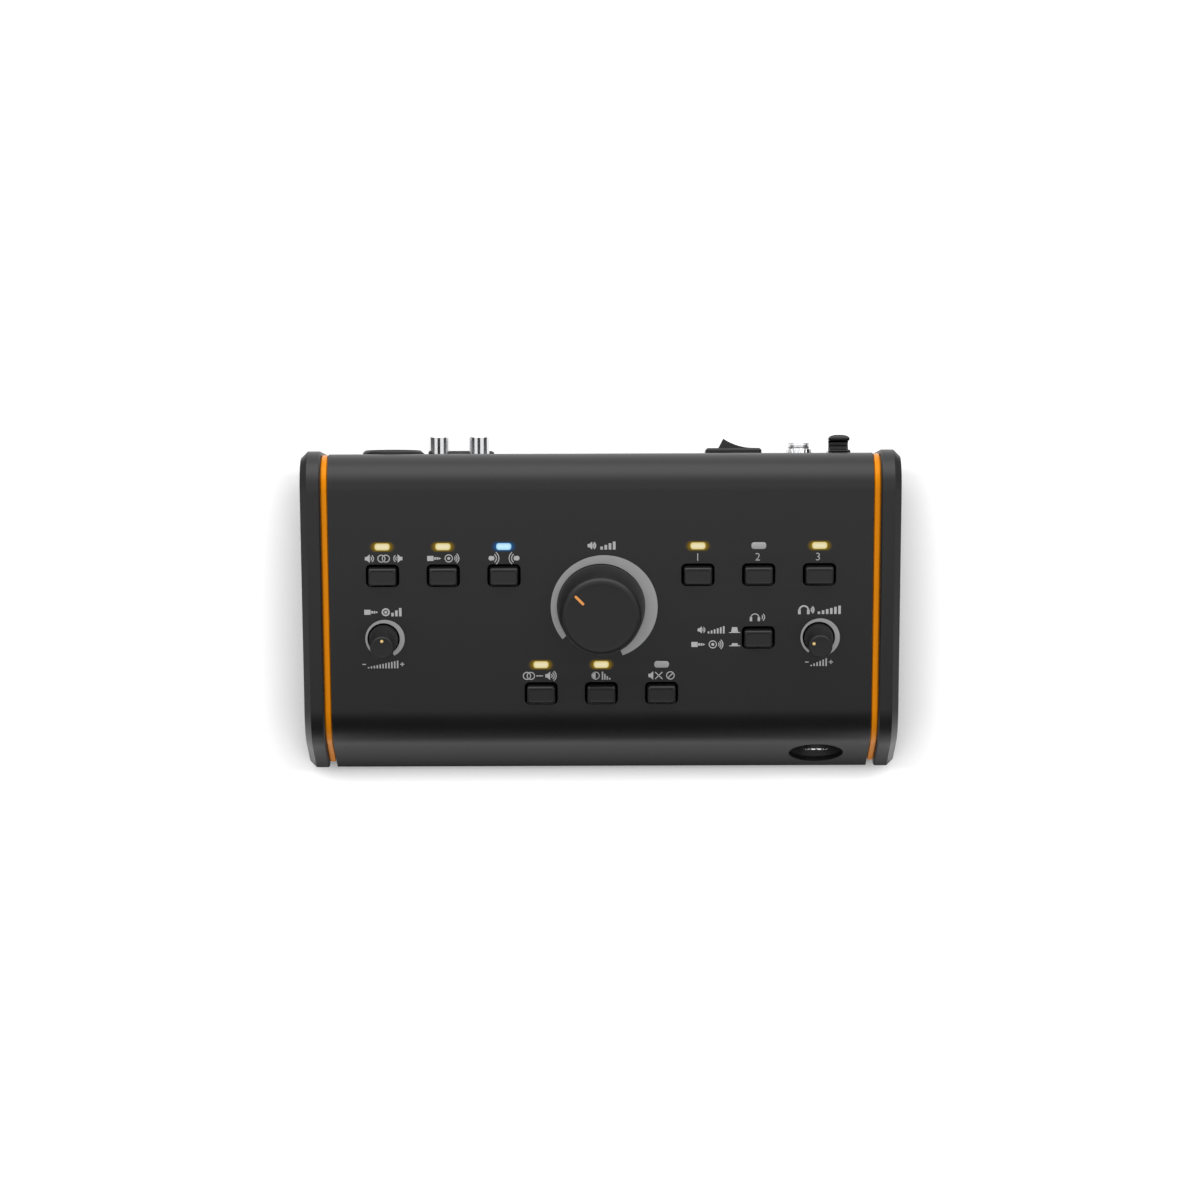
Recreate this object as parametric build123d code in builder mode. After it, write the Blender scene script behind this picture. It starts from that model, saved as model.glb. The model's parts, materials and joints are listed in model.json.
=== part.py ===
from build123d import *
import os
from math import cos, radians, sin, tan

# A desk-top studio monitor controller: a sloping bent-metal case between two side cheeks.
# +X is the user's right, +Y points to the connector side, +Z is up, in millimetres.
# The origin is on the desk, under the middle of the whole controller.

os.makedirs("parts", exist_ok=True)

# ---- driving dimensions: the case ----
WIDTH = 230.0               # over the two cheeks
CHEEK_THICKNESS = 7.8
SPACER_THICKNESS = 2.8
WALL = 2.0                  # sheet of the top shell and of the rear panel
BASE_SHEET = 1.5
FOOT_HEIGHT = 4.0
FOOT_RADIUS = 6.5
FRONT_Y = -64.75            # foot of the front face
REAR_Y = 57.2               # outer face of the rear panel
FRONT_LEAN = 20.0           # degrees that the front face leans back
PANEL_SLOPE = 15.0          # degrees that the control panel rises to the rear
PANEL_Z_AT_ORIGIN = 52.7    # height of the control panel's surface above Y = 0
FRONT_RADIUS = 20.0
REAR_RADIUS = 11.5
CHEEK_MARGIN = 1.2          # how far the cheeks stand out past the shell
CHEEK_CORNER = 4.0
CHEEK_BEVEL = 2.6
CHEEK_INNER_BEVEL = 0.5
SPACER_INSET = 0.35
SPACER_RISE = 5.5           # the spacers stop this far above the shell's lower edge
END_PLATE = 3.0
FLANGE = (12.6, 96.0, 1.0)  # width, length and middle of each end plate's foot flange
REAR_BLOCK = (7.2, 6.8, 8.5)
SHELL_CLEARANCE = 0.15      # around what stands in a hole of the sheet metal
BLOCK_GAP = 0.1             # the same on each side of a square hole
BASE_GAP = 0.2              # between the bottom plate's ends and the spacers
AIR_SLOT = (22.0, 2.4)
AIR_SLOTS = (8.0, 9)        # their pitch and number

# ---- driving dimensions: what stands on the control panel ----
MAIN_KNOB_Y = -1.6          # where the main knob's axis meets the panel
COLUMNS = (37.2, 60.5, 83.8)
DIM_COLUMNS = (-23.25, 0.0, 23.25)
LED_ROW_1 = 23.9
BUTTON_ROW_1 = 12.45
LED_ROW_2 = -23.2
BUTTON_ROW_2 = -34.7
MIDDLE_ROW = -12.6
CAP = (10.9, 7.1)
CAP_CORNER = 1.0
CAP_BEVEL = 0.6
CAP_RISE = 3.0
CAP_GAP = 0.85
CAP_FLANGE = (14.0, 10.2)
FLANGE_GAP = 0.3
FLANGE_THICKNESS = 1.0
STEM_RADIUS = 1.6
STEM_DEPTH = 1.0            # how far it stands in the switch
SWITCH = (7.4, 4.4)         # side and height
SWITCH_HOLE = (1.7, 4.0)    # radius and depth
LED = (6.2, 3.05)
LED_CORNER = 1.2
LED_GAP = 0.05
LED_RISE = 0.25
LED_CHIP = (3.5, 2.2, 1.8)
LED_CHIP_GAP = 0.2
BOARD = 1.6
PANEL_BOARD_DEPTH = 13.0    # from the panel's surface to the board's upper face

MAIN_KNOB_RADIUS = 16.9
MAIN_KNOB_TOP_RADIUS = 15.6
MAIN_KNOB_HEIGHT = 16.0
MAIN_KNOB_LIFT = 0.8
MAIN_KNOB_SKIRT = 2.0       # height of the upright band at its foot
MAIN_KNOB_EDGE = 0.8        # bevel round its top
MAIN_KNOB_HOLLOW = (12.0, 6.0)
MAIN_POINTER_TURN = 51.0    # degrees to the left of straight up
POINTER = (1.0, 4.9, 0.4)
POINTER_LEAN = 44.0         # its own direction isn't quite towards the axis
POINTER_REACH = 10.6        # from the axis to the middle of the pointer
POINTER_PROUD = 0.08
MAIN_BUSH_RADIUS = 4.5
MAIN_POT = (16.0, 8.0)      # side and height
MAIN_BUSH_RISE = 4.4        # above the panel
MAIN_NUT = (7.2, 2.2)
SHAFT_RADIUS = 3.0
SHAFT_FOOT = 1.5            # above the panel board
SHAFT_ROOF = 3.0            # solid plastic over the shaft's hole in a knob
SHAFT_SHORT = 0.5           # between the shaft's end and that roof
BUSH_FOOT = 1.4             # floor of the bush's bore above the panel board
RUNNING_FIT = 0.05
PRESS_GAP = 0.02
SMALL_KNOB_HOLE = 6.1
SMALL_KNOB_RADIUS = 5.6
SMALL_KNOB_TOP_RADIUS = 4.6
SMALL_KNOB_HEIGHT = 13.8
SMALL_KNOB_DROP = 1.4       # its skirt dips this far into the panel's hole
SMALL_KNOB_SKIRT = 1.0
SMALL_KNOB_EDGE = 0.5
SMALL_BUSH = (4.3, 3.0)
SMALL_POT = (9.6, 11.0, 6.5)
DOT_RADIUS = 0.6
DOT_DEPTH = 0.4
DOT_PROUD = 0.06
DOT_REACH = 2.8
POINTER_TURNS = {"aux": 0.0, "phones": 63.0}

# ---- driving dimensions: the connectors ----
JACK_BORE = 3.25            # radius of a 6.3 mm jack's hole
JACK_BORE_DEPTH = 22.0
COMBO_X = -80.3
COMBO_HEIGHTS = {"upper": 40.75, "lower": 16.95}
COMBO_FLANGE_RADIUS = 11.7
COMBO_FLANGE_BEVEL = 0.9
COMBO_RADIUS = 11.0
COMBO_PROUD = 1.8
COMBO_GROOVE = (9.7, 7.9, 11.0)
COMBO_CONTACT = (1.3, 5.6, 9.0)
RCA_X = (-62.6, -47.1)
RCA_Z = 38.0
RCA_BARREL_RADIUS = 4.15
RCA_BARREL_WALL = 0.7
RCA_PROUD = 7.0
RCA_BLOCK_X = -54.0
RCA_FLANGE = (25.6, 13.6)
RCA_FLANGE_PROUD = 1.8
RCA_BODY = (22.4, 11.0, 12.0)
RCA_BORE = (1.7, 3.0)       # radius, and depth behind the panel's face
RCA_CORE_DROP = 0.4         # the insulator ends this far inside the barrel
SOCKET_CORNER = 1.0
JACK_COLUMNS = (-26.0, 0.0, 26.0)
JACK_HEIGHTS = (38.0, 16.6)
JACK_BODY = (14.0, 24.0)    # side and depth behind the panel
JACK_NOSE_RADIUS = 5.6
ROCKER_X = 51.5
ROCKER_Z = 33.0
ROCKER_BEZEL = (21.8, 15.4)
ROCKER_CORNER = 1.6
ROCKER_BEVEL = 0.7
ROCKER_BEZEL_PROUD = 2.4
ROCKER_BODY = (19.8, 12.8, 17.0)
ROCKER_WELL = (18.2, 11.0, 12.0)
ROCKER_PIN_HOLE = (0.6, 0.5)    # how deep its pins' holes and its pins go into the walls
ROCKER_PADDLE_HEIGHT = 10.6
ROCKER_TILT = 16.0          # degrees from level to either end of its travel
ROCKER_AXIS_DEPTH = 4.0     # behind the panel's face
# half of the paddle's section, from its pin: the crest, the valley, the foot and the keel
ROCKER_CREST = (6.5, 8.6)
ROCKER_VALLEY = 7.6
ROCKER_FOOT = (7.6, 3.4)
ROCKER_KEEL = (2.6, -2.4)
TRUNNION_RADIUS = 1.5
DC_X = 76.9
DC_Z = 36.0
DC_BUSH_RADIUS = 4.0
DC_BORE = (2.9, 9.0)
DC_PIN_RADIUS = 1.05
DC_PIN_DROP = 1.2           # its tip lies this far inside the mouth
DC_PROUD = 4.2
DC_BODY = (11.0, 12.0)
DC_NUT = (5.0, 2.0, 0.4)    # radius, height and bevel
HOOK_X = 92.2
HOOK_Z = 36.0
HOOK_CORNERS = (1.2, 1.4, 0.5)
HOOK_BASE = (8.6, 19.0, 1.4)
HOOK_GAP = 4.35
HOOK_LIP = (8.8, 10.0, 1.8)
HOOK_ARM = (7.8, 3.0)
PHONES_X = 84.0
PHONES_Z = 18.9
PHONES_HOLE = 10.6
CUP_RADIUS = 12.0
CUP_BORE = 11.2
CUP_BOSS_RADIUS = 8.4
CUP_BOSS_Y = -54.0
CUP_FLOOR = 2.0
CUP_BACK_Y = -50.0
BUSH_RADIUS = 4.7
BUSH_MOUTH_Y = -58.0
PHONES_NUT = (7.0, 2.5)
CUP_LENGTH = 20.0           # before the front face cuts it off
CUP_GAP = 0.05
PHONES_BODY = (13.0, 26.0)  # side and depth behind the cup

# ---- driving dimensions: inside ----
MAIN_BOARD_Z = 10.8         # underside of the lower board
MAIN_BOARD = (170.0, 75.0)
MAIN_BOARD_AT = (10.5, -11.5)
PANEL_BOARD = (196.0, 71.0)
PANEL_BOARD_AT = (0.0, -5.5)
REAR_BOARD = (135.0, 34.8)
REAR_BOARD_AT = (-27.5, 26.6)
REAR_BOARD_Y = 29.4
BOARD_CORNER = 1.5
RELAY = (15.0, 7.6, 10.0)
RELAY_BEVEL = 0.4
RELAY_X = (-50.0, -30.0, -10.0, 10.0, 30.0, 50.0)
RELAY_Y = 12.0
CAPACITOR = (5.0, 13.0, 0.5)
CAPACITOR_X = (-40.0, -24.0, -8.0)
CAPACITOR_Y = -8.0
MODULE = (24.0, 14.0, 0.9)
MODULE_AT = (20.0, -30.0)
MODULE_CAN = (15.0, 11.0, 2.2)
MODULE_CAN_SHIFT = -3.0
CABLE = (24.0, 1.0)         # width and thickness
CABLE_X = -66.0             # its left edge
CABLE_Y = -18.0
SCREW_RADIUS = 1.5
SCREW_HEAD = (2.75, 1.7)
SCREW_HEAD_TAPER = 12.0
SCREW_HEX = (1.2, 1.0)
SCREW_LENGTH = 8.0
SCREW_CLEARANCE = 0.15
THREAD_CLEARANCE = 0.05
SUNK_HEAD = (2.9, 1.4)      # radius and depth of the rear screws' sunk heads
SUNK_CONE = 45.0            # degrees that their cone leans in
REAR_THREAD = 12.0          # depth of the rear screws' holes
FOOT_THREAD = 10.0
CHEEK_HEAD = (2.75, 2.8, 0.35)
CHEEK_HEX = (1.45, 1.6)
CHEEK_SINK = (3.1, 3.4)
CHEEK_SCREW_LENGTH = 10.2
FOOT_SINK = (3.3, 2.2)
FOOT_BEVEL = 0.6
POST_RADIUS = 2.6

# ---- worked out from them ----
HALF = WIDTH / 2
SHELL_HALF = HALF - CHEEK_THICKNESS - SPACER_THICKNESS
SLOPE = tan(radians(PANEL_SLOPE))
LEAN = tan(radians(FRONT_LEAN))
PANEL_NORMAL = (0, -sin(radians(PANEL_SLOPE)), cos(radians(PANEL_SLOPE)))
PANEL = Plane(
    origin=(0, MAIN_KNOB_Y, PANEL_Z_AT_ORIGIN + MAIN_KNOB_Y * SLOPE),
    x_dir=(1, 0, 0),
    z_dir=PANEL_NORMAL,
)
# the corner where the front face and the panel would meet if it weren't rounded
CORNER_Z = (PANEL_Z_AT_ORIGIN + SLOPE * (FRONT_Y - LEAN * FOOT_HEIGHT)) / (1 - SLOPE * LEAN)
CORNER_Y = FRONT_Y + LEAN * (CORNER_Z - FOOT_HEIGHT)
REAR_CORNER_Z = PANEL_Z_AT_ORIGIN + SLOPE * REAR_Y
LIP_GAP = 0.5               # flat sheet below the rear curve
LIP_Z = REAR_CORNER_Z - REAR_RADIUS * tan(radians(90 + PANEL_SLOPE) / 2) - LIP_GAP
FRONT_FACE = Plane(
    origin=(PHONES_X, FRONT_Y + LEAN * (PHONES_Z - FOOT_HEIGHT), PHONES_Z),
    x_dir=(1, 0, 0),
    z_dir=(0, -cos(radians(FRONT_LEAN)), sin(radians(FRONT_LEAN))),
)
BASE_TOP = FOOT_HEIGHT + BASE_SHEET
BASE_FRONT_Y = FRONT_Y + (WALL + SHELL_CLEARANCE) / cos(radians(FRONT_LEAN)) + LEAN * BASE_SHEET
BASE_REAR_Y = REAR_Y - WALL
MAIN_BOARD_TOP = MAIN_BOARD_Z + BOARD
BOARD_UNDER_Z = PANEL_Z_AT_ORIGIN - (PANEL_BOARD_DEPTH + BOARD) / cos(radians(PANEL_SLOPE))
CUT = 400.0                 # larger than anything that it cuts
FEET = [(x, y) for x in (-94.0, 94.0) for y in (-42.0, 44.0)]
BOARD_POSTS = [(x, y) for x in (-68.0, 68.0) for y in (-42.0, 20.0)]
PANEL_POSTS = [(-93, 25), (93, 25), (-93, -36), (93, -36), (-45, -30), (45, -30)]
REAR_SCREWS = [(x, z) for x in (-98.0, 98.0) for z in (9.2, 49.2)]
CHEEK_SCREWS = [(-40.0, 18.0), (40.0, 18.0), (22.0, 46.0)]
HOOK_SCREW_Z = HOOK_Z - 5.5
BUTTONS = {
    "button_stereo": (-COLUMNS[2], BUTTON_ROW_1),
    "button_aux": (-COLUMNS[1], BUTTON_ROW_1),
    "button_pair": (-COLUMNS[0], BUTTON_ROW_1),
    "button_speaker_1": (COLUMNS[0], BUTTON_ROW_1),
    "button_speaker_2": (COLUMNS[1], BUTTON_ROW_1),
    "button_speaker_3": (COLUMNS[2], BUTTON_ROW_1),
    "button_pfl": (COLUMNS[1], MIDDLE_ROW),
    "button_mono": (DIM_COLUMNS[0], BUTTON_ROW_2),
    "button_dim": (DIM_COLUMNS[1], BUTTON_ROW_2),
    "button_mute": (DIM_COLUMNS[2], BUTTON_ROW_2),
}
LEDS = {
    "led_lenses_amber": [
        (-COLUMNS[2], LED_ROW_1),
        (-COLUMNS[1], LED_ROW_1),
        (COLUMNS[0], LED_ROW_1),
        (COLUMNS[2], LED_ROW_1),
        (DIM_COLUMNS[0], LED_ROW_2),
        (DIM_COLUMNS[1], LED_ROW_2),
    ],
    "led_lens_blue": [(-COLUMNS[0], LED_ROW_1)],
    "led_lenses_unlit": [(COLUMNS[1], LED_ROW_1), (DIM_COLUMNS[2], LED_ROW_2)],
}
ALL_LEDS = [place for places in LEDS.values() for place in places]
SMALL_KNOBS = {"aux": (-COLUMNS[2], MIDDLE_ROW), "phones": (COLUMNS[2], MIDDLE_ROW)}


def save(part, name):
    """Label a finished piece and write it under its node's name."""
    part.label = name
    export_step(part, f"parts/{name}.step")


def save_group(parts, name):
    """Write identical pieces as separate solids under one node's name."""
    save(Compound(children=parts), name)


def rear_plane(x, z, proud=0.0):
    """A plane facing the connector side, proud of the rear panel; its own x runs to -X."""
    return Plane(origin=(x, REAR_Y + proud, z), x_dir=(-1, 0, 0), z_dir=(0, 1, 0))


def front_plane(y):
    """An upright plane facing the user, behind the headphone hole."""
    return Plane(origin=(PHONES_X, y, PHONES_Z), x_dir=(1, 0, 0), z_dir=(0, -1, 0))


def on_panel(x, along, rise=0.0):
    """A plane parallel to the control panel, at a place on it, raised by rise."""
    place = PANEL.offset(rise).from_local_coords(Vector(x, along, 0))
    return Plane(origin=place, x_dir=(1, 0, 0), z_dir=PANEL_NORMAL)


def side_section(inset, base_z):
    """The case's closed section, drawn in Y and Z, moved in by inset and cut off at base_z."""
    with BuildSketch() as section:
        with BuildLine():
            path = FilletPolyline(
                (FRONT_Y, FOOT_HEIGHT),
                (CORNER_Y, CORNER_Z),
                (REAR_Y, REAR_CORNER_Z),
                (REAR_Y, FOOT_HEIGHT),
                radius=[FRONT_RADIUS, REAR_RADIUS],
            )
            Line(path @ 1, path @ 0)
        make_face()
        offset(amount=-inset, kind=Kind.INTERSECTION)
        with Locations((0, base_z - CUT / 2)):
            Rectangle(CUT, CUT, mode=Mode.SUBTRACT)
    return section.sketch


def pan_screw(plane):
    """A pan-head screw whose head stands on the plane and whose thread goes behind it."""
    with BuildPart() as screw:
        with BuildSketch(plane):
            Circle(SCREW_HEAD[0])
        extrude(amount=SCREW_HEAD[1], taper=SCREW_HEAD_TAPER)
        with BuildSketch(plane):
            Circle(SCREW_RADIUS)
        extrude(amount=-SCREW_LENGTH)
        with BuildSketch(plane.offset(SCREW_HEAD[1])):
            RegularPolygon(SCREW_HEX[0], 6)
        extrude(amount=-SCREW_HEX[1], mode=Mode.SUBTRACT)
    return screw.part


def sunk_screw(plane):
    """A screw whose cone-shaped head lies flush with the plane."""
    with BuildPart() as screw:
        with BuildSketch(plane):
            Circle(SUNK_HEAD[0])
        extrude(amount=-SUNK_HEAD[1], taper=SUNK_CONE)
        with BuildSketch(plane):
            Circle(SCREW_RADIUS)
        extrude(amount=-SCREW_LENGTH)
        with BuildSketch(plane):
            RegularPolygon(SCREW_HEX[0], 6)
        extrude(amount=-SCREW_HEX[1], mode=Mode.SUBTRACT)
    return screw.part


def tube(plane, outer, inner, length):
    """A tube of that length standing on the plane."""
    with BuildPart() as ring:
        with BuildSketch(plane):
            Circle(outer)
            Circle(inner, mode=Mode.SUBTRACT)
        extrude(amount=length)
    return ring.part


# ---- the top shell: front face, control panel and rear curve, bent from one sheet ----
with BuildPart() as top_shell:
    with BuildSketch(Plane.YZ):
        with BuildLine():
            FilletPolyline(
                (FRONT_Y, FOOT_HEIGHT),
                (CORNER_Y, CORNER_Z),
                (REAR_Y, REAR_CORNER_Z),
                (REAR_Y, LIP_Z),
                radius=[FRONT_RADIUS, REAR_RADIUS],
            )
            offset(amount=WALL, side=Side.RIGHT)
        make_face()
    extrude(amount=SHELL_HALF, both=True)
    with BuildSketch(PANEL):
        with Locations(*BUTTONS.values()):
            RectangleRounded(CAP[0] + 2 * CAP_GAP, CAP[1] + 2 * CAP_GAP, CAP_CORNER + CAP_GAP)
        with Locations(*ALL_LEDS):
            RectangleRounded(LED[0] + 2 * LED_GAP, LED[1] + 2 * LED_GAP, LED_CORNER + LED_GAP)
        with Locations(*SMALL_KNOBS.values()):
            Circle(SMALL_KNOB_HOLE)
        Circle(MAIN_BUSH_RADIUS + SHELL_CLEARANCE)
    extrude(amount=-WALL - 1, mode=Mode.SUBTRACT)
    with BuildSketch(FRONT_FACE):
        Circle(PHONES_HOLE)
    extrude(amount=-WALL - 1, mode=Mode.SUBTRACT)
save(top_shell.part, "top_shell")

# ---- the rear panel carries the connectors ----
with BuildPart() as rear_panel:
    with BuildSketch(rear_plane(0, 0)):
        with Locations((0, (FOOT_HEIGHT + LIP_Z) / 2)):
            Rectangle(2 * SHELL_HALF, LIP_Z - FOOT_HEIGHT)
        with Locations(*[(-COMBO_X, z) for z in COMBO_HEIGHTS.values()]):
            Circle(COMBO_RADIUS + SHELL_CLEARANCE, mode=Mode.SUBTRACT)
        with Locations((-RCA_BLOCK_X, RCA_Z)):
            Rectangle(RCA_BODY[0] + 2 * BLOCK_GAP, RCA_BODY[1] + 2 * BLOCK_GAP, mode=Mode.SUBTRACT)
        with Locations(*[(-x, z) for x in JACK_COLUMNS for z in JACK_HEIGHTS]):
            Circle(JACK_NOSE_RADIUS + SHELL_CLEARANCE, mode=Mode.SUBTRACT)
        with Locations((-ROCKER_X, ROCKER_Z)):
            Rectangle(
                ROCKER_BODY[0] + 2 * BLOCK_GAP, ROCKER_BODY[1] + 2 * BLOCK_GAP, mode=Mode.SUBTRACT
            )
        with Locations((-DC_X, DC_Z)):
            Circle(DC_BUSH_RADIUS + SHELL_CLEARANCE, mode=Mode.SUBTRACT)
        with Locations(*[(-x, z) for x, z in REAR_SCREWS], (-HOOK_X, HOOK_SCREW_Z)):
            Circle(SCREW_RADIUS + SCREW_CLEARANCE, mode=Mode.SUBTRACT)
    extrude(amount=-WALL)
    with BuildSketch(rear_plane(0, 0)):
        with Locations(*[(-x, z) for x, z in REAR_SCREWS]):
            Circle(SUNK_HEAD[0] + THREAD_CLEARANCE)
    extrude(amount=-SUNK_HEAD[1], taper=SUNK_CONE, mode=Mode.SUBTRACT)
save(rear_panel.part, "rear_panel")

# ---- the bottom plate, with a row of air slots ----
with BuildPart() as bottom_plate:
    with BuildSketch(Plane.XY.offset(FOOT_HEIGHT)):
        with Locations((0, (BASE_FRONT_Y + BASE_REAR_Y) / 2)):
            Rectangle(2 * (SHELL_HALF - BASE_GAP), BASE_REAR_Y - BASE_FRONT_Y)
        with Locations(*FEET, *BOARD_POSTS):
            Circle(SCREW_RADIUS + SCREW_CLEARANCE, mode=Mode.SUBTRACT)
        with GridLocations(AIR_SLOTS[0], 0, AIR_SLOTS[1], 1):
            SlotOverall(AIR_SLOT[0], AIR_SLOT[1], rotation=90, mode=Mode.SUBTRACT)
    extrude(amount=BASE_SHEET)
save(bottom_plate.part, "bottom_plate")

# ---- what closes each end: an L-shaped end plate, an orange spacer and a cheek ----
for side, name in ((-1, "left"), (1, "right")):
    inner_x = side * (SHELL_HALF - END_PLATE)
    end_screws = [(-x, z) for x, z in REAR_SCREWS if x * side > 0]
    with BuildPart() as end_plate:
        with BuildSketch(Plane.YZ.offset(inner_x)):
            add(side_section(WALL + SHELL_CLEARANCE, BASE_TOP))
        extrude(amount=side * END_PLATE)
        # the foot flange that the foot screws reach
        with BuildSketch(Plane.XY.offset(BASE_TOP)):
            with Locations((inner_x - side * FLANGE[0] / 2, FLANGE[2])):
                Rectangle(FLANGE[0], FLANGE[1])
        extrude(amount=END_PLATE)
        # the two blocks that the rear panel is screwed to
        with BuildSketch(rear_plane(0, 0, -WALL - SHELL_CLEARANCE)):
            with Locations(*end_screws):
                Rectangle(REAR_BLOCK[0], REAR_BLOCK[1])
        extrude(amount=-REAR_BLOCK[2])
        with BuildSketch(rear_plane(0, 0)):
            with Locations(*end_screws):
                Circle(SCREW_RADIUS + THREAD_CLEARANCE)
        extrude(amount=-REAR_THREAD, mode=Mode.SUBTRACT)
        with BuildSketch(Plane.XY.offset(FOOT_HEIGHT)):
            with Locations(*[foot for foot in FEET if foot[0] * side > 0]):
                Circle(SCREW_RADIUS + THREAD_CLEARANCE)
        extrude(amount=FOOT_THREAD, mode=Mode.SUBTRACT)
        with BuildSketch(Plane.YZ.offset(inner_x)):
            with Locations(*CHEEK_SCREWS):
                Circle(SCREW_RADIUS + THREAD_CLEARANCE)
        extrude(amount=side * END_PLATE, mode=Mode.SUBTRACT)
    save(end_plate.part, f"end_plate_{name}")

    with BuildPart() as spacer:
        with BuildSketch(Plane.YZ.offset(side * SHELL_HALF)):
            add(side_section(SPACER_INSET, FOOT_HEIGHT + SPACER_RISE))
            with Locations(*CHEEK_SCREWS):
                Circle(SCREW_RADIUS + SCREW_CLEARANCE, mode=Mode.SUBTRACT)
        extrude(amount=side * SPACER_THICKNESS)
    save(spacer.part, f"spacer_{name}")

    with BuildPart() as cheek:
        with BuildSketch(Plane.YZ.offset(side * HALF)):
            add(side_section(-CHEEK_MARGIN, 0))
        extrude(amount=-side * CHEEK_THICKNESS)
        upright = cheek.edges().filter_by(Axis.X).group_by(Axis.Z)[0]
        fillet(upright, CHEEK_CORNER)
        outside = cheek.faces().filter_by(Axis.X).sort_by(Axis.X)[-1 if side > 0 else 0]
        chamfer(outside.edges(), CHEEK_BEVEL)
        inside = cheek.faces().filter_by(Axis.X).sort_by(Axis.X)[0 if side > 0 else -1]
        chamfer(inside.edges(), CHEEK_INNER_BEVEL)
        with BuildSketch(Plane.YZ.offset(side * HALF)):
            with Locations(*CHEEK_SCREWS):
                Circle(CHEEK_SINK[0])
        extrude(amount=-side * CHEEK_SINK[1], mode=Mode.SUBTRACT)
        with BuildSketch(Plane.YZ.offset(side * HALF)):
            with Locations(*CHEEK_SCREWS):
                Circle(SCREW_RADIUS + SCREW_CLEARANCE)
        extrude(amount=-side * CHEEK_THICKNESS, mode=Mode.SUBTRACT)
    save(cheek.part, f"cheek_{name}")

# ---- fasteners and feet ----
cheek_screws = []
for side in (-1, 1):
    for y, z in CHEEK_SCREWS:
        seat = Plane(
            origin=(side * (HALF - CHEEK_SINK[1]), y, z), x_dir=(0, 1, 0), z_dir=(side, 0, 0)
        )
        with BuildPart() as cheek_screw:
            with BuildSketch(seat):
                Circle(CHEEK_HEAD[0])
            extrude(amount=CHEEK_HEAD[1])
            chamfer(cheek_screw.edges().group_by(seat.location.z_axis)[-1], CHEEK_HEAD[2])
            with BuildSketch(seat):
                Circle(SCREW_RADIUS)
            extrude(amount=-CHEEK_SCREW_LENGTH)
            with BuildSketch(seat.offset(CHEEK_HEAD[1])):
                RegularPolygon(CHEEK_HEX[0], 6)
            extrude(amount=-CHEEK_HEX[1], mode=Mode.SUBTRACT)
        cheek_screws.append(cheek_screw.part)
save_group(cheek_screws, "cheek_screws")

feet = []
for x, y in FEET:
    with BuildPart() as foot:
        with BuildSketch(Plane((x, y, 0))):
            Circle(FOOT_RADIUS)
        extrude(amount=FOOT_HEIGHT)
        chamfer(foot.edges().group_by(Axis.Z)[0], FOOT_BEVEL)
        with BuildSketch(Plane((x, y, 0))):
            Circle(FOOT_SINK[0])
        extrude(amount=FOOT_SINK[1], mode=Mode.SUBTRACT)
        with BuildSketch(Plane((x, y, 0))):
            Circle(SCREW_RADIUS + SCREW_CLEARANCE)
        extrude(amount=FOOT_HEIGHT, mode=Mode.SUBTRACT)
    feet.append(foot.part)
save_group(feet, "rubber_feet")

pan_screws = [pan_screw(Plane((x, y, FOOT_SINK[1]), z_dir=(0, 0, -1))) for x, y in FEET]
pan_screws += [sunk_screw(rear_plane(x, z)) for x, z in REAR_SCREWS]
pan_screws += [pan_screw(rear_plane(HOOK_X, HOOK_SCREW_Z, HOOK_BASE[2]))]
pan_screws += [pan_screw(Plane((x, y, MAIN_BOARD_TOP))) for x, y in BOARD_POSTS]
board_under = -PANEL_BOARD_DEPTH - BOARD
for x, along in PANEL_POSTS:
    lower = on_panel(x, along, board_under)
    pan_screws.append(pan_screw(Plane(lower.origin, x_dir=(1, 0, 0), z_dir=-lower.z_dir)))
save_group(pan_screws, "pan_head_screws")

posts = []
for x, y in BOARD_POSTS:
    post_plane = Plane((x, y, BASE_TOP))
    posts.append(
        tube(post_plane, POST_RADIUS, SCREW_RADIUS + THREAD_CLEARANCE, MAIN_BOARD_Z - BASE_TOP)
    )
for x, along in PANEL_POSTS:
    post_plane = on_panel(x, along, -PANEL_BOARD_DEPTH)
    post_length = PANEL_BOARD_DEPTH - WALL
    posts.append(tube(post_plane, POST_RADIUS, SCREW_RADIUS + THREAD_CLEARANCE, post_length))
save_group(posts, "board_posts")

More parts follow.
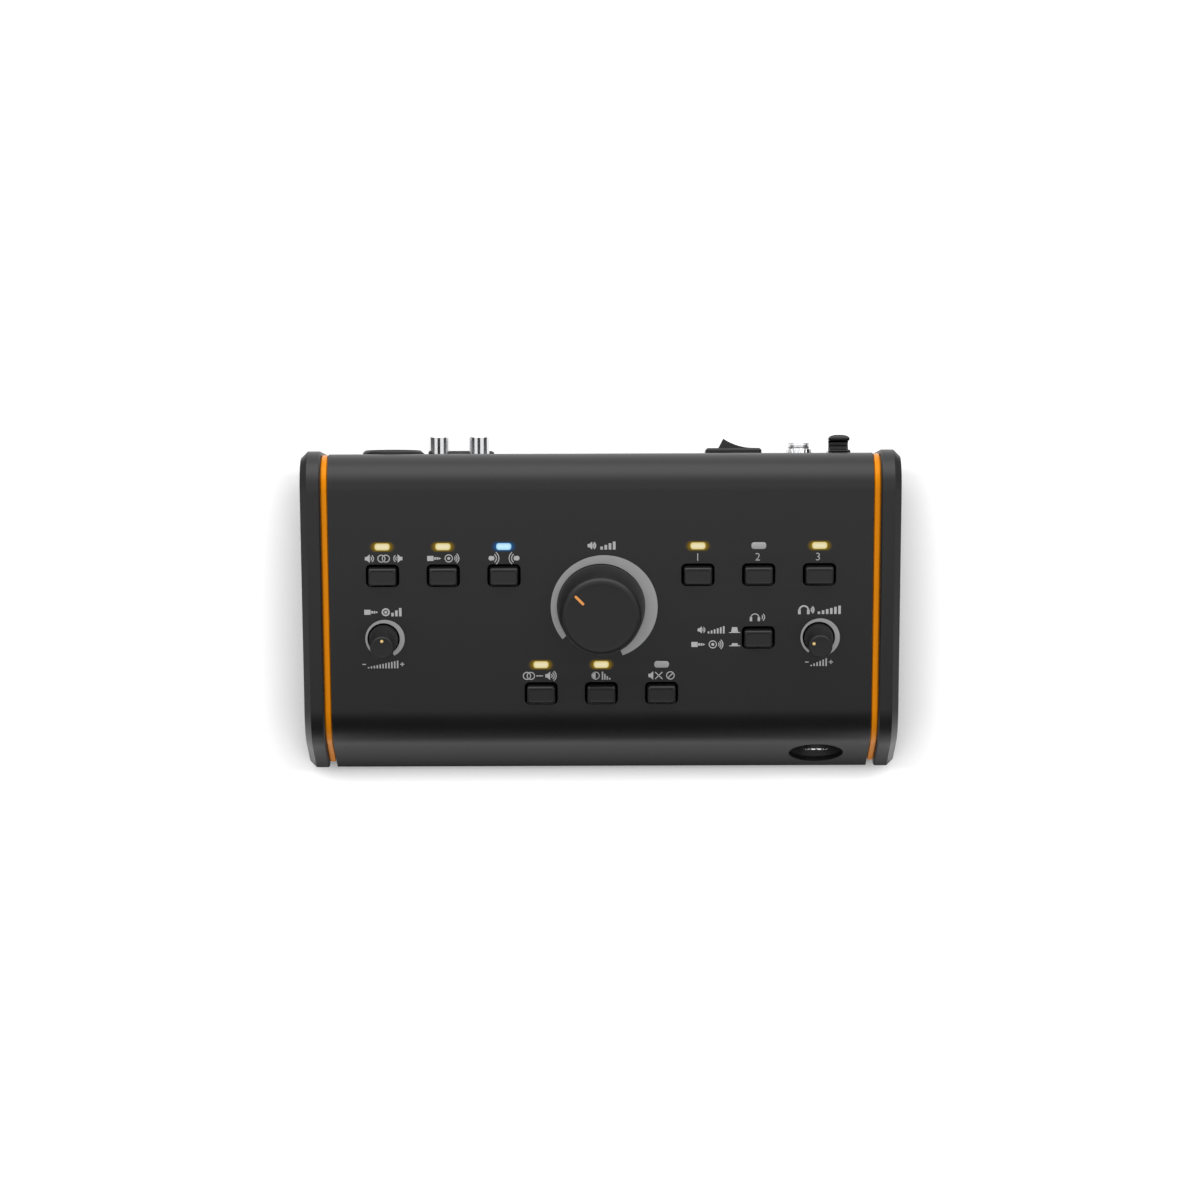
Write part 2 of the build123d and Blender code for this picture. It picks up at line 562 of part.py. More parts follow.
# ---- the main volume control: knob, pointer, shaft, potentiometer and nut ----
MAIN = on_panel(0, 0)
SHAFT_LENGTH = PANEL_BOARD_DEPTH - SHAFT_FOOT - SHAFT_ROOF - SHAFT_SHORT
POINTER_PLACE = (
    -POINTER_REACH * sin(radians(MAIN_POINTER_TURN)),
    POINTER_REACH * cos(radians(MAIN_POINTER_TURN)),
)
with BuildPart() as main_knob:
    with BuildSketch(Plane(MAIN.origin, x_dir=(1, 0, 0), z_dir=-MAIN.y_dir)):
        with BuildLine():
            Polyline(
                (0, MAIN_KNOB_LIFT),
                (MAIN_KNOB_RADIUS, MAIN_KNOB_LIFT),
                (MAIN_KNOB_RADIUS, MAIN_KNOB_LIFT + MAIN_KNOB_SKIRT),
                (MAIN_KNOB_TOP_RADIUS, MAIN_KNOB_HEIGHT - MAIN_KNOB_EDGE),
                (MAIN_KNOB_TOP_RADIUS - MAIN_KNOB_EDGE, MAIN_KNOB_HEIGHT),
                (0, MAIN_KNOB_HEIGHT),
                close=True,
            )
        make_face()
    revolve(axis=Axis(MAIN.origin, MAIN.z_dir))
    with BuildSketch(MAIN):
        Circle(MAIN_KNOB_HOLLOW[0])
    extrude(amount=MAIN_KNOB_HOLLOW[1], mode=Mode.SUBTRACT)
    with BuildSketch(MAIN):
        Circle(SHAFT_RADIUS + PRESS_GAP)
    extrude(amount=MAIN_KNOB_HEIGHT - SHAFT_ROOF, mode=Mode.SUBTRACT)
    with BuildSketch(MAIN.offset(MAIN_KNOB_HEIGHT)):
        with Locations(POINTER_PLACE):
            Rectangle(POINTER[0], POINTER[1], rotation=POINTER_LEAN)
    extrude(amount=-POINTER[2], mode=Mode.SUBTRACT)
save(main_knob.part, "main_knob")

with BuildPart() as main_pointer:
    with BuildSketch(MAIN.offset(MAIN_KNOB_HEIGHT - POINTER[2])):
        with Locations(POINTER_PLACE):
            Rectangle(POINTER[0], POINTER[1], rotation=POINTER_LEAN)
    extrude(amount=POINTER[2] + POINTER_PROUD)
save(main_pointer.part, "main_pointer")

with BuildPart() as main_shaft:
    with BuildSketch(MAIN.offset(SHAFT_FOOT - PANEL_BOARD_DEPTH)):
        Circle(SHAFT_RADIUS)
    extrude(amount=SHAFT_LENGTH + MAIN_KNOB_HEIGHT)
save(main_shaft.part, "main_shaft")

with BuildPart() as main_pot:
    with BuildSketch(MAIN.offset(-PANEL_BOARD_DEPTH)):
        Rectangle(MAIN_POT[0], MAIN_POT[0])
    extrude(amount=MAIN_POT[1])
    with BuildSketch(MAIN.offset(MAIN_POT[1] - PANEL_BOARD_DEPTH)):
        Circle(MAIN_BUSH_RADIUS)
    extrude(amount=PANEL_BOARD_DEPTH - MAIN_POT[1] + MAIN_BUSH_RISE)
    with BuildSketch(MAIN.offset(BUSH_FOOT - PANEL_BOARD_DEPTH)):
        Circle(SHAFT_RADIUS + RUNNING_FIT)
    extrude(amount=PANEL_BOARD_DEPTH + MAIN_BUSH_RISE, mode=Mode.SUBTRACT)
save(main_pot.part, "main_pot")

with BuildPart() as main_pot_nut:
    with BuildSketch(MAIN):
        RegularPolygon(MAIN_NUT[0], 6)
        Circle(MAIN_BUSH_RADIUS + THREAD_CLEARANCE, mode=Mode.SUBTRACT)
    extrude(amount=MAIN_NUT[1])
save(main_pot_nut.part, "main_pot_nut")

# ---- the two small volume controls ----
for name, (x, along) in SMALL_KNOBS.items():
    axis_plane = on_panel(x, along)
    turn = radians(POINTER_TURNS[name])
    dot_place = (-DOT_REACH * sin(turn), DOT_REACH * cos(turn))
    with BuildPart() as knob:
        with BuildSketch(Plane(axis_plane.origin, x_dir=(1, 0, 0), z_dir=-axis_plane.y_dir)):
            with BuildLine():
                Polyline(
                    (0, -SMALL_KNOB_DROP),
                    (SMALL_KNOB_RADIUS, -SMALL_KNOB_DROP),
                    (SMALL_KNOB_RADIUS, SMALL_KNOB_SKIRT),
                    (SMALL_KNOB_TOP_RADIUS, SMALL_KNOB_HEIGHT - SMALL_KNOB_EDGE),
                    (SMALL_KNOB_TOP_RADIUS - SMALL_KNOB_EDGE, SMALL_KNOB_HEIGHT),
                    (0, SMALL_KNOB_HEIGHT),
                    close=True,
                )
            make_face()
        revolve(axis=Axis(axis_plane.origin, axis_plane.z_dir))
        with BuildSketch(axis_plane.offset(-SMALL_KNOB_DROP)):
            Circle(SHAFT_RADIUS + PRESS_GAP)
        extrude(amount=SMALL_KNOB_DROP + SMALL_KNOB_HEIGHT - SHAFT_ROOF, mode=Mode.SUBTRACT)
        with BuildSketch(axis_plane.offset(SMALL_KNOB_HEIGHT)):
            with Locations(dot_place):
                Circle(DOT_RADIUS)
        extrude(amount=-DOT_DEPTH, mode=Mode.SUBTRACT)
    save(knob.part, f"{name}_knob")

    with BuildPart() as dot:
        with BuildSketch(axis_plane.offset(SMALL_KNOB_HEIGHT - DOT_DEPTH)):
            with Locations(dot_place):
                Circle(DOT_RADIUS)
        extrude(amount=DOT_DEPTH + DOT_PROUD)
    save(dot.part, f"{name}_dot")

    with BuildPart() as shaft:
        with BuildSketch(axis_plane.offset(SHAFT_FOOT - PANEL_BOARD_DEPTH)):
            Circle(SHAFT_RADIUS)
        extrude(amount=SHAFT_LENGTH + SMALL_KNOB_HEIGHT)
    save(shaft.part, f"{name}_shaft")

    with BuildPart() as pot:
        with BuildSketch(axis_plane.offset(-PANEL_BOARD_DEPTH)):
            Rectangle(SMALL_POT[0], SMALL_POT[1])
        extrude(amount=SMALL_POT[2])
        with BuildSketch(axis_plane.offset(SMALL_POT[2] - PANEL_BOARD_DEPTH)):
            Circle(SMALL_BUSH[0])
        extrude(amount=SMALL_BUSH[1])
        with BuildSketch(axis_plane.offset(BUSH_FOOT - PANEL_BOARD_DEPTH)):
            Circle(SHAFT_RADIUS + RUNNING_FIT)
        extrude(amount=PANEL_BOARD_DEPTH, mode=Mode.SUBTRACT)
    save(pot.part, f"{name}_pot")

# ---- push buttons: a cap with a flange that keeps it in, on a stem that works a switch ----
switches = []
for name, (x, along) in BUTTONS.items():
    flange_top = -WALL - FLANGE_GAP
    stem_end = SWITCH[1] - STEM_DEPTH - PANEL_BOARD_DEPTH
    with BuildPart() as button:
        with BuildSketch(on_panel(x, along, flange_top)):
            RectangleRounded(CAP[0], CAP[1], CAP_CORNER)
        extrude(amount=CAP_RISE - flange_top)
        chamfer(button.faces().sort_by(Axis(PANEL.origin, PANEL.z_dir))[-1].edges(), CAP_BEVEL)
        with BuildSketch(on_panel(x, along, flange_top)):
            RectangleRounded(CAP_FLANGE[0], CAP_FLANGE[1], CAP_CORNER)
        extrude(amount=-FLANGE_THICKNESS)
        with BuildSketch(on_panel(x, along, flange_top)):
            Circle(STEM_RADIUS)
        extrude(amount=stem_end - flange_top)
    save(button.part, name)
    with BuildPart() as switch:
        with BuildSketch(on_panel(x, along, -PANEL_BOARD_DEPTH)):
            Rectangle(SWITCH[0], SWITCH[0])
        extrude(amount=SWITCH[1])
        with BuildSketch(on_panel(x, along, SWITCH[1] - PANEL_BOARD_DEPTH)):
            Circle(SWITCH_HOLE[0])
        extrude(amount=-SWITCH_HOLE[1], mode=Mode.SUBTRACT)
    switches.append(switch.part)
save_group(switches, "button_switches")

# ---- indicator lamps: light pipes in the panel's windows, over chips on the board ----
chips = []
for name, places in LEDS.items():
    lenses = []
    for x, along in places:
        with BuildPart() as lens:
            with BuildSketch(on_panel(x, along, LED_RISE)):
                RectangleRounded(LED[0], LED[1], LED_CORNER)
            extrude(amount=LED_CHIP[2] + LED_CHIP_GAP - PANEL_BOARD_DEPTH - LED_RISE)
        lenses.append(lens.part)
        with BuildPart() as chip:
            with BuildSketch(on_panel(x, along, -PANEL_BOARD_DEPTH)):
                Rectangle(LED_CHIP[0], LED_CHIP[1])
            extrude(amount=LED_CHIP[2])
        chips.append(chip.part)
    save_group(lenses, name)
save_group(chips, "led_chips")

# ---- circuit boards ----
with BuildPart() as panel_board:
    with BuildSketch(on_panel(0, 0, -PANEL_BOARD_DEPTH)):
        with Locations(PANEL_BOARD_AT):
            RectangleRounded(PANEL_BOARD[0], PANEL_BOARD[1], BOARD_CORNER)
        with Locations(*PANEL_POSTS):
            Circle(SCREW_RADIUS + SCREW_CLEARANCE, mode=Mode.SUBTRACT)
    extrude(amount=-BOARD)
save(panel_board.part, "panel_board")

with BuildPart() as main_board:
    with BuildSketch(Plane.XY.offset(MAIN_BOARD_Z)):
        with Locations(MAIN_BOARD_AT):
            RectangleRounded(MAIN_BOARD[0], MAIN_BOARD[1], BOARD_CORNER)
        with Locations(*BOARD_POSTS):
            Circle(SCREW_RADIUS + SCREW_CLEARANCE, mode=Mode.SUBTRACT)
    extrude(amount=BOARD)
save(main_board.part, "main_board")

with BuildPart() as rear_board:
    with BuildSketch(Plane.XZ.offset(-REAR_BOARD_Y)):
        with Locations(REAR_BOARD_AT):
            Rectangle(REAR_BOARD[0], REAR_BOARD[1])
    extrude(amount=-BOARD)
save(rear_board.part, "rear_board")

relays = []
for x in RELAY_X:
    with BuildPart() as relay:
        with BuildSketch(Plane((x, RELAY_Y, MAIN_BOARD_TOP))):
            Rectangle(RELAY[0], RELAY[1])
        extrude(amount=RELAY[2])
        chamfer(relay.edges().group_by(Axis.Z)[-1], RELAY_BEVEL)
    relays.append(relay.part)
for x in CAPACITOR_X:
    with BuildPart() as capacitor:
        with BuildSketch(Plane((x, CAPACITOR_Y, MAIN_BOARD_TOP))):
            Circle(CAPACITOR[0])
        extrude(amount=CAPACITOR[1])
        chamfer(capacitor.edges().group_by(Axis.Z)[-1], CAPACITOR[2])
    relays.append(capacitor.part)
save_group(relays, "relays_and_capacitors")

with BuildPart() as wireless_module:
    with BuildSketch(Plane.XY.offset(MAIN_BOARD_TOP)):
        with Locations(MODULE_AT):
            Rectangle(MODULE[0], MODULE[1])
    extrude(amount=MODULE[2])
    with BuildSketch(Plane.XY.offset(MAIN_BOARD_TOP + MODULE[2])):
        with Locations((MODULE_AT[0] + MODULE_CAN_SHIFT, MODULE_AT[1])):
            Rectangle(MODULE_CAN[0], MODULE_CAN[1])
    extrude(amount=MODULE_CAN[2])
save(wireless_module.part, "wireless_module")

# the flat cable stands between the lower board and the panel board
CABLE_FRONT = CABLE_Y + CABLE[1]
with BuildPart() as flat_cable:
    with BuildSketch(Plane.YZ.offset(CABLE_X)):
        with BuildLine():
            Polyline(
                (CABLE_Y, MAIN_BOARD_TOP),
                (CABLE_FRONT, MAIN_BOARD_TOP),
                (CABLE_FRONT, BOARD_UNDER_Z + SLOPE * CABLE_FRONT),
                (CABLE_Y, BOARD_UNDER_Z + SLOPE * CABLE_Y),
                close=True,
            )
        make_face()
    extrude(amount=CABLE[0])
save(flat_cable.part, "flat_cable")

# ---- combined microphone-and-jack sockets for the two line inputs ----
for name, z in COMBO_HEIGHTS.items():
    face = rear_plane(COMBO_X, z, COMBO_PROUD)
    with BuildPart() as combo:
        with BuildSketch(face):
            Circle(COMBO_FLANGE_RADIUS)
        extrude(amount=-COMBO_PROUD)
        chamfer(combo.edges().group_by(Axis.Y)[-1], COMBO_FLANGE_BEVEL)
        with BuildSketch(rear_plane(COMBO_X, z)):
            Circle(COMBO_RADIUS)
        extrude(amount=-JACK_BODY[1] - WALL)
        with BuildSketch(face):
            Circle(COMBO_GROOVE[0])
            Circle(COMBO_GROOVE[1], mode=Mode.SUBTRACT)
        extrude(amount=-COMBO_GROOVE[2], mode=Mode.SUBTRACT)
        with BuildSketch(face):
            Circle(JACK_BORE)
        extrude(amount=-JACK_BORE_DEPTH, mode=Mode.SUBTRACT)
        with BuildSketch(face):
            with PolarLocations(COMBO_CONTACT[1], 3, start_angle=90):
                Circle(COMBO_CONTACT[0])
        extrude(amount=-COMBO_CONTACT[2], mode=Mode.SUBTRACT)
    save(combo.part, f"combo_socket_{name}")

# ---- the pair of phono sockets ----
with BuildPart() as rca_block:
    with BuildSketch(rear_plane(RCA_BLOCK_X, RCA_Z)):
        RectangleRounded(RCA_FLANGE[0], RCA_FLANGE[1], SOCKET_CORNER)
    extrude(amount=RCA_FLANGE_PROUD)
    with BuildSketch(rear_plane(RCA_BLOCK_X, RCA_Z)):
        Rectangle(RCA_BODY[0], RCA_BODY[1])
    extrude(amount=-RCA_BODY[2])
    with BuildSketch(rear_plane(0, RCA_Z, RCA_FLANGE_PROUD)):
        with Locations(*[(-x, 0) for x in RCA_X]):
            Circle(RCA_BARREL_RADIUS - RCA_BARREL_WALL - PRESS_GAP)
    extrude(amount=RCA_PROUD - RCA_FLANGE_PROUD - RCA_CORE_DROP)
    with BuildSketch(rear_plane(0, RCA_Z, RCA_PROUD)):
        with Locations(*[(-x, 0) for x in RCA_X]):
            Circle(RCA_BORE[0])
    extrude(amount=-RCA_PROUD - RCA_BORE[1], mode=Mode.SUBTRACT)
save(rca_block.part, "rca_block")

barrels = []
for x in RCA_X:
    inner = RCA_BARREL_RADIUS - RCA_BARREL_WALL
    seat = rear_plane(x, RCA_Z, RCA_FLANGE_PROUD)
    barrels.append(tube(seat, RCA_BARREL_RADIUS, inner, RCA_PROUD - RCA_FLANGE_PROUD))
save_group(barrels, "rca_barrels")

# ---- the six 6.3 mm output jacks, flush with the rear panel ----
jacks = []
for x in JACK_COLUMNS:
    for z in JACK_HEIGHTS:
        with BuildPart() as jack:
            with BuildSketch(rear_plane(x, z, -WALL)):
                RectangleRounded(JACK_BODY[0], JACK_BODY[0], SOCKET_CORNER)
            extrude(amount=-JACK_BODY[1])
            with BuildSketch(rear_plane(x, z, -WALL)):
                Circle(JACK_NOSE_RADIUS)
            extrude(amount=WALL)
            with BuildSketch(rear_plane(x, z)):
                Circle(JACK_BORE)
            extrude(amount=-JACK_BORE_DEPTH, mode=Mode.SUBTRACT)
        jacks.append(jack.part)
save_group(jacks, "output_jacks")

# ---- the power rocker switch: its paddle swings about an upright pin ----
ROCKER_AXIS_Y = REAR_Y - ROCKER_AXIS_DEPTH
with BuildPart() as rocker_housing:
    with BuildSketch(rear_plane(ROCKER_X, ROCKER_Z)):
        RectangleRounded(ROCKER_BEZEL[0], ROCKER_BEZEL[1], ROCKER_CORNER)
    extrude(amount=ROCKER_BEZEL_PROUD)
    chamfer(rocker_housing.faces().sort_by(Axis.Y)[-1].edges(), ROCKER_BEVEL)
    with BuildSketch(rear_plane(ROCKER_X, ROCKER_Z)):
        Rectangle(ROCKER_BODY[0], ROCKER_BODY[1])
    extrude(amount=-ROCKER_BODY[2])
    with BuildSketch(rear_plane(ROCKER_X, ROCKER_Z, ROCKER_BEZEL_PROUD)):
        Rectangle(ROCKER_WELL[0], ROCKER_WELL[1])
    extrude(amount=-ROCKER_BEZEL_PROUD - ROCKER_WELL[2], mode=Mode.SUBTRACT)
    with BuildSketch(Plane((ROCKER_X, ROCKER_AXIS_Y, ROCKER_Z))):
        Circle(TRUNNION_RADIUS + RUNNING_FIT)
    extrude(amount=ROCKER_WELL[1] / 2 + ROCKER_PIN_HOLE[0], both=True, mode=Mode.SUBTRACT)
save(rocker_housing.part, "rocker_housing")

# the paddle's face is a shallow valley; at rest its left crest stands out
with BuildPart() as rocker_paddle:
    with BuildSketch(Plane((ROCKER_X, ROCKER_AXIS_Y, ROCKER_Z))):
        with BuildLine():
            valley = ThreePointArc(
                (-ROCKER_CREST[0], ROCKER_CREST[1]), (0, ROCKER_VALLEY), ROCKER_CREST
            )
            Polyline(
                valley @ 1,
                ROCKER_FOOT,
                ROCKER_KEEL,
                (-ROCKER_KEEL[0], ROCKER_KEEL[1]),
                (-ROCKER_FOOT[0], ROCKER_FOOT[1]),
                valley @ 0,
            )
        make_face()
    extrude(amount=ROCKER_PADDLE_HEIGHT / 2, both=True)
    with BuildSketch(Plane((ROCKER_X, ROCKER_AXIS_Y, ROCKER_Z))):
        Circle(TRUNNION_RADIUS)
    extrude(amount=ROCKER_WELL[1] / 2 + ROCKER_PIN_HOLE[1], both=True)
ROCKER_PIN = Axis((ROCKER_X, ROCKER_AXIS_Y, ROCKER_Z), (0, 0, 1))
save(rocker_paddle.part.rotate(ROCKER_PIN, -ROCKER_TILT), "rocker_paddle")

# ---- the low-voltage supply inlet with its locking collar ----
with BuildPart() as dc_inlet:
    with BuildSketch(rear_plane(DC_X, DC_Z, -WALL)):
        RectangleRounded(DC_BODY[0], DC_BODY[0], SOCKET_CORNER)
    extrude(amount=-DC_BODY[1])
    with BuildSketch(rear_plane(DC_X, DC_Z, -WALL)):
        Circle(DC_BUSH_RADIUS)
    extrude(amount=WALL + DC_PROUD)
    with BuildSketch(rear_plane(DC_X, DC_Z, DC_PROUD)):
        Circle(DC_BORE[0])
        Circle(DC_PIN_RADIUS, mode=Mode.SUBTRACT)
    extrude(amount=-DC_BORE[1], mode=Mode.SUBTRACT)
    with BuildSketch(rear_plane(DC_X, DC_Z, DC_PROUD)):
        Circle(DC_BORE[0])
    extrude(amount=-DC_PIN_DROP, mode=Mode.SUBTRACT)
save(dc_inlet.part, "dc_inlet")

with BuildPart() as dc_nut:
    with BuildSketch(rear_plane(DC_X, DC_Z)):
        Circle(DC_NUT[0])
    extrude(amount=DC_NUT[1])
    chamfer(dc_nut.edges().group_by(Axis.Y)[-1], DC_NUT[2])
    with BuildSketch(rear_plane(DC_X, DC_Z)):
        Circle(DC_BUSH_RADIUS + THREAD_CLEARANCE)
    extrude(amount=DC_NUT[1], mode=Mode.SUBTRACT)
save(dc_nut.part, "dc_nut")

# ---- the hook that takes the pull off the supply's cord ----
with BuildPart() as cord_hook:
    with BuildSketch(rear_plane(HOOK_X, HOOK_Z)):
        RectangleRounded(HOOK_BASE[0], HOOK_BASE[1], HOOK_CORNERS[0])
    extrude(amount=HOOK_BASE[2])
    with BuildSketch(rear_plane(HOOK_X, HOOK_Z, HOOK_BASE[2])):
        Rectangle(HOOK_ARM[0], HOOK_ARM[1])
    extrude(amount=HOOK_GAP)
    with BuildSketch(rear_plane(HOOK_X, HOOK_Z, HOOK_BASE[2] + HOOK_GAP)):
        with Locations((0, (HOOK_LIP[1] - HOOK_ARM[1]) / 2)):
            RectangleRounded(HOOK_LIP[0], HOOK_LIP[1], HOOK_CORNERS[1])
    extrude(amount=HOOK_LIP[2])
    chamfer(cord_hook.faces().sort_by(Axis.Y)[-1].edges(), HOOK_CORNERS[2])
    with BuildSketch(rear_plane(HOOK_X, HOOK_SCREW_Z, HOOK_BASE[2])):
        Circle(SCREW_RADIUS + SCREW_CLEARANCE)
    extrude(amount=-HOOK_BASE[2], mode=Mode.SUBTRACT)
save(cord_hook.part, "cord_hook")

# ---- the headphone socket: a cup behind the front hole carries an upright-faced jack ----
with BuildPart() as phones_cup:
    with BuildSketch(front_plane(CUP_BACK_Y)):
        Circle(CUP_RADIUS)
    extrude(amount=CUP_LENGTH)
    with BuildSketch(front_plane(CUP_BACK_Y - CUP_FLOOR)):
        Circle(CUP_BORE)
    extrude(amount=CUP_LENGTH, mode=Mode.SUBTRACT)
    with BuildSketch(front_plane(CUP_BACK_Y)):
        Circle(CUP_BOSS_RADIUS)
    extrude(amount=CUP_BACK_Y - CUP_BOSS_Y)
    with BuildSketch(Plane.YZ.offset(PHONES_X - CUP_RADIUS)):
        add(side_section(WALL + CUP_GAP, BASE_TOP))
    extrude(amount=2 * CUP_RADIUS, mode=Mode.INTERSECT)
    with BuildSketch(front_plane(CUP_BACK_Y)):
        Circle(BUSH_RADIUS + THREAD_CLEARANCE)
    extrude(amount=CUP_LENGTH, mode=Mode.SUBTRACT)
save(phones_cup.part, "phones_cup")

with BuildPart() as phones_jack:
    with BuildSketch(front_plane(CUP_BACK_Y)):
        RectangleRounded(PHONES_BODY[0], PHONES_BODY[0], SOCKET_CORNER)
        Circle(JACK_BORE, mode=Mode.SUBTRACT)
    extrude(amount=-PHONES_BODY[1])
save(phones_jack.part, "phones_jack")

bush = tube(front_plane(CUP_BACK_Y), BUSH_RADIUS, JACK_BORE, CUP_BACK_Y - BUSH_MOUTH_Y)
nut = tube(front_plane(CUP_BOSS_Y), PHONES_NUT[0], BUSH_RADIUS + THREAD_CLEARANCE, PHONES_NUT[1])
save_group([bush, nut], "phones_bush")
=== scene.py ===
# %% [markdown]
# # Dressing a studio monitor controller
# The construction arrives as a packed model in which every solid has its real size and place.
# Blender's job is the look. We load that model as a fixed frame, in metres, and never move it.

# %% Load the frame
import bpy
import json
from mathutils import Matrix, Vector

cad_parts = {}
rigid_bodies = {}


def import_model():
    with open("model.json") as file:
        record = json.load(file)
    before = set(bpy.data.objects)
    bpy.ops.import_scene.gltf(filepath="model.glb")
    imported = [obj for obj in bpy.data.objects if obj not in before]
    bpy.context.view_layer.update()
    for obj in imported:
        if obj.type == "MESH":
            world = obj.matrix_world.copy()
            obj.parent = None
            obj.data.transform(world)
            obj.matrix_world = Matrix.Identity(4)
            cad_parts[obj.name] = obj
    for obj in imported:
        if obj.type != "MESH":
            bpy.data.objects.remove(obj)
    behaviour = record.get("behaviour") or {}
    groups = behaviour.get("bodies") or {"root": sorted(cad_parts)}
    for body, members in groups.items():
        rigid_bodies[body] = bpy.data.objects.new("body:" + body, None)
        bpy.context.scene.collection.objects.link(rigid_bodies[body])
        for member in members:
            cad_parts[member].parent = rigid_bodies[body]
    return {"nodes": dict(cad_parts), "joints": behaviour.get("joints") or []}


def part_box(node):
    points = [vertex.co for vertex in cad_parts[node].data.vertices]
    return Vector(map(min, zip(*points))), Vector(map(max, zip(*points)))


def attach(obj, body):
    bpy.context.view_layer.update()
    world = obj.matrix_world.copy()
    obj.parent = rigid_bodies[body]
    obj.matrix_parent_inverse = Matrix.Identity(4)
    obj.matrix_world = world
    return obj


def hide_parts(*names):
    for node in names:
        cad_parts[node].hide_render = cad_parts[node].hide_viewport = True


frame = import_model()

# %% [markdown]
# Blender may start with a cube, a lamp and a camera of its own. We take them away first.

# %% Clear the table
import json
from math import atan2, cos, pi, radians, sin, tan

import bmesh
import bpy
from mathutils import Vector

for leftover in list(bpy.data.objects):
    if leftover.type in {"MESH", "LIGHT", "CAMERA"} and leftover.name not in frame["nodes"]:
        bpy.data.objects.remove(leftover)
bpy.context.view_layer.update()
scene = bpy.context.scene
scene.view_settings.view_transform = "Standard"

# %% [markdown]
# The control panel slopes, so it gets coordinates of its own: x across it, "along" up the slope
# and "rise" off its surface, all in millimetres and measured from the main knob's axis. The
# frame gives that axis: it is the joint that the main knob turns on.

# %% The control panel's own coordinates
MM = 0.001
joints = {joint["name"]: joint for joint in frame["joints"]}
ORIGIN = Vector(joints["main_volume_turn"]["pos_m"])
UP = Vector(joints["main_volume_turn"]["axis"])
ACROSS = Vector((1, 0, 0))
ALONG = UP.cross(ACROSS)


def on_panel(x, along, rise=0.0):
    """A place on the control panel, in millimetres, as a point of the frame in metres."""
    return ORIGIN + (ACROSS * x + ALONG * along + UP * rise) * MM


def to_panel(point):
    """A point of the frame in the panel's x, along and rise."""
    offset = Vector(point) - ORIGIN
    return Vector((offset.dot(ACROSS), offset.dot(ALONG), offset.dot(UP))) / MM


def panel_box(node):
    """Lowest and highest x, along and rise of a CAD node."""
    places = [to_panel(vertex.co) for vertex in frame["nodes"][node].data.vertices]
    low = Vector([min(place[i] for place in places) for i in range(3)])
    high = Vector([max(place[i] for place in places) for i in range(3)])
    return low, high


def panel_centre(node):
    """x and along of a CAD node's middle."""
    low, high = panel_box(node)
    return (low.x + high.x) / 2, (low.y + high.y) / 2


SLOPE = atan2(ALONG.z, ALONG.y)
print("the panel slopes", round(SLOPE / radians(1), 2), "degrees")

# %% [markdown]
# The camera stands straight above the object with a long lens, so that the knobs hardly lean. A
# camera looks down its own -Z, which needs no turning here, apart from a fifth of a degree of
# roll. Depth of field stays off.

# %% Camera
CAMERA_PLACE = (-0.0004, 0.0009, 1.70)
LENS_MM, SENSOR_MM = 128.6, 36.0
CAMERA_ROLL = radians(-0.2)

camera = bpy.data.objects.new("camera", bpy.data.cameras.new("camera"))
camera.data.lens = LENS_MM
camera.data.sensor_width = SENSOR_MM
camera.location = CAMERA_PLACE
camera.rotation_euler = (0, 0, CAMERA_ROLL)
scene.collection.objects.link(camera)
scene.camera = camera
print("camera", camera.location[:], camera.data.lens, "mm")

# %% [markdown]
# ## A small kit for finishes
# A finish is a node tree. Wiring one by hand takes a dozen lines for a simple sum, so one small
# class wraps a node's output and lets Python's + - * / add the Math nodes. Colours go through
# Mix nodes instead, because a Math node would turn them grey.

# %% Wire: a node's output that sums can be written with
class Wire:
    """One output of a node in a tree."""

    def __init__(self, tree, socket):
        self.tree = tree
        self.socket = socket

    def __add__(self, other):
        return self.tree.math("ADD", self, other)

    __radd__ = __add__

    def __sub__(self, other):
        return self.tree.math("SUBTRACT", self, other)

    def __rsub__(self, other):
        return self.tree.math("SUBTRACT", other, self)

    def __mul__(self, other):
        return self.tree.math("MULTIPLY", self, other)

    __rmul__ = __mul__

    def __truediv__(self, other):
        return self.tree.math("DIVIDE", self, other)

    def __rtruediv__(self, other):
        return self.tree.math("DIVIDE", other, self)

    def __pow__(self, other):
        return self.tree.math("POWER", self, other)

    def __rpow__(self, other):
        return self.tree.math("POWER", other, self)

    def over(self, level):
        """1 where the value is above a level, and 0 elsewhere."""
        return self.tree.math("GREATER_THAN", self, level)

    def between(self, low, high):
        """The value held between two others."""
        return self.tree.math("MINIMUM", self.tree.math("MAXIMUM", self, low), high)


print("a wire takes + - * / and **, also with a plain number before it, over() and between()")

# %% [markdown]
# Nodes are added through a tree. Its method `node` makes any node from its type, its settings and
# the values or wires of its inputs. The others are short names for the nodes needed most: maths,
# a mix of two colours, the place on the piece, and noise of a given size.

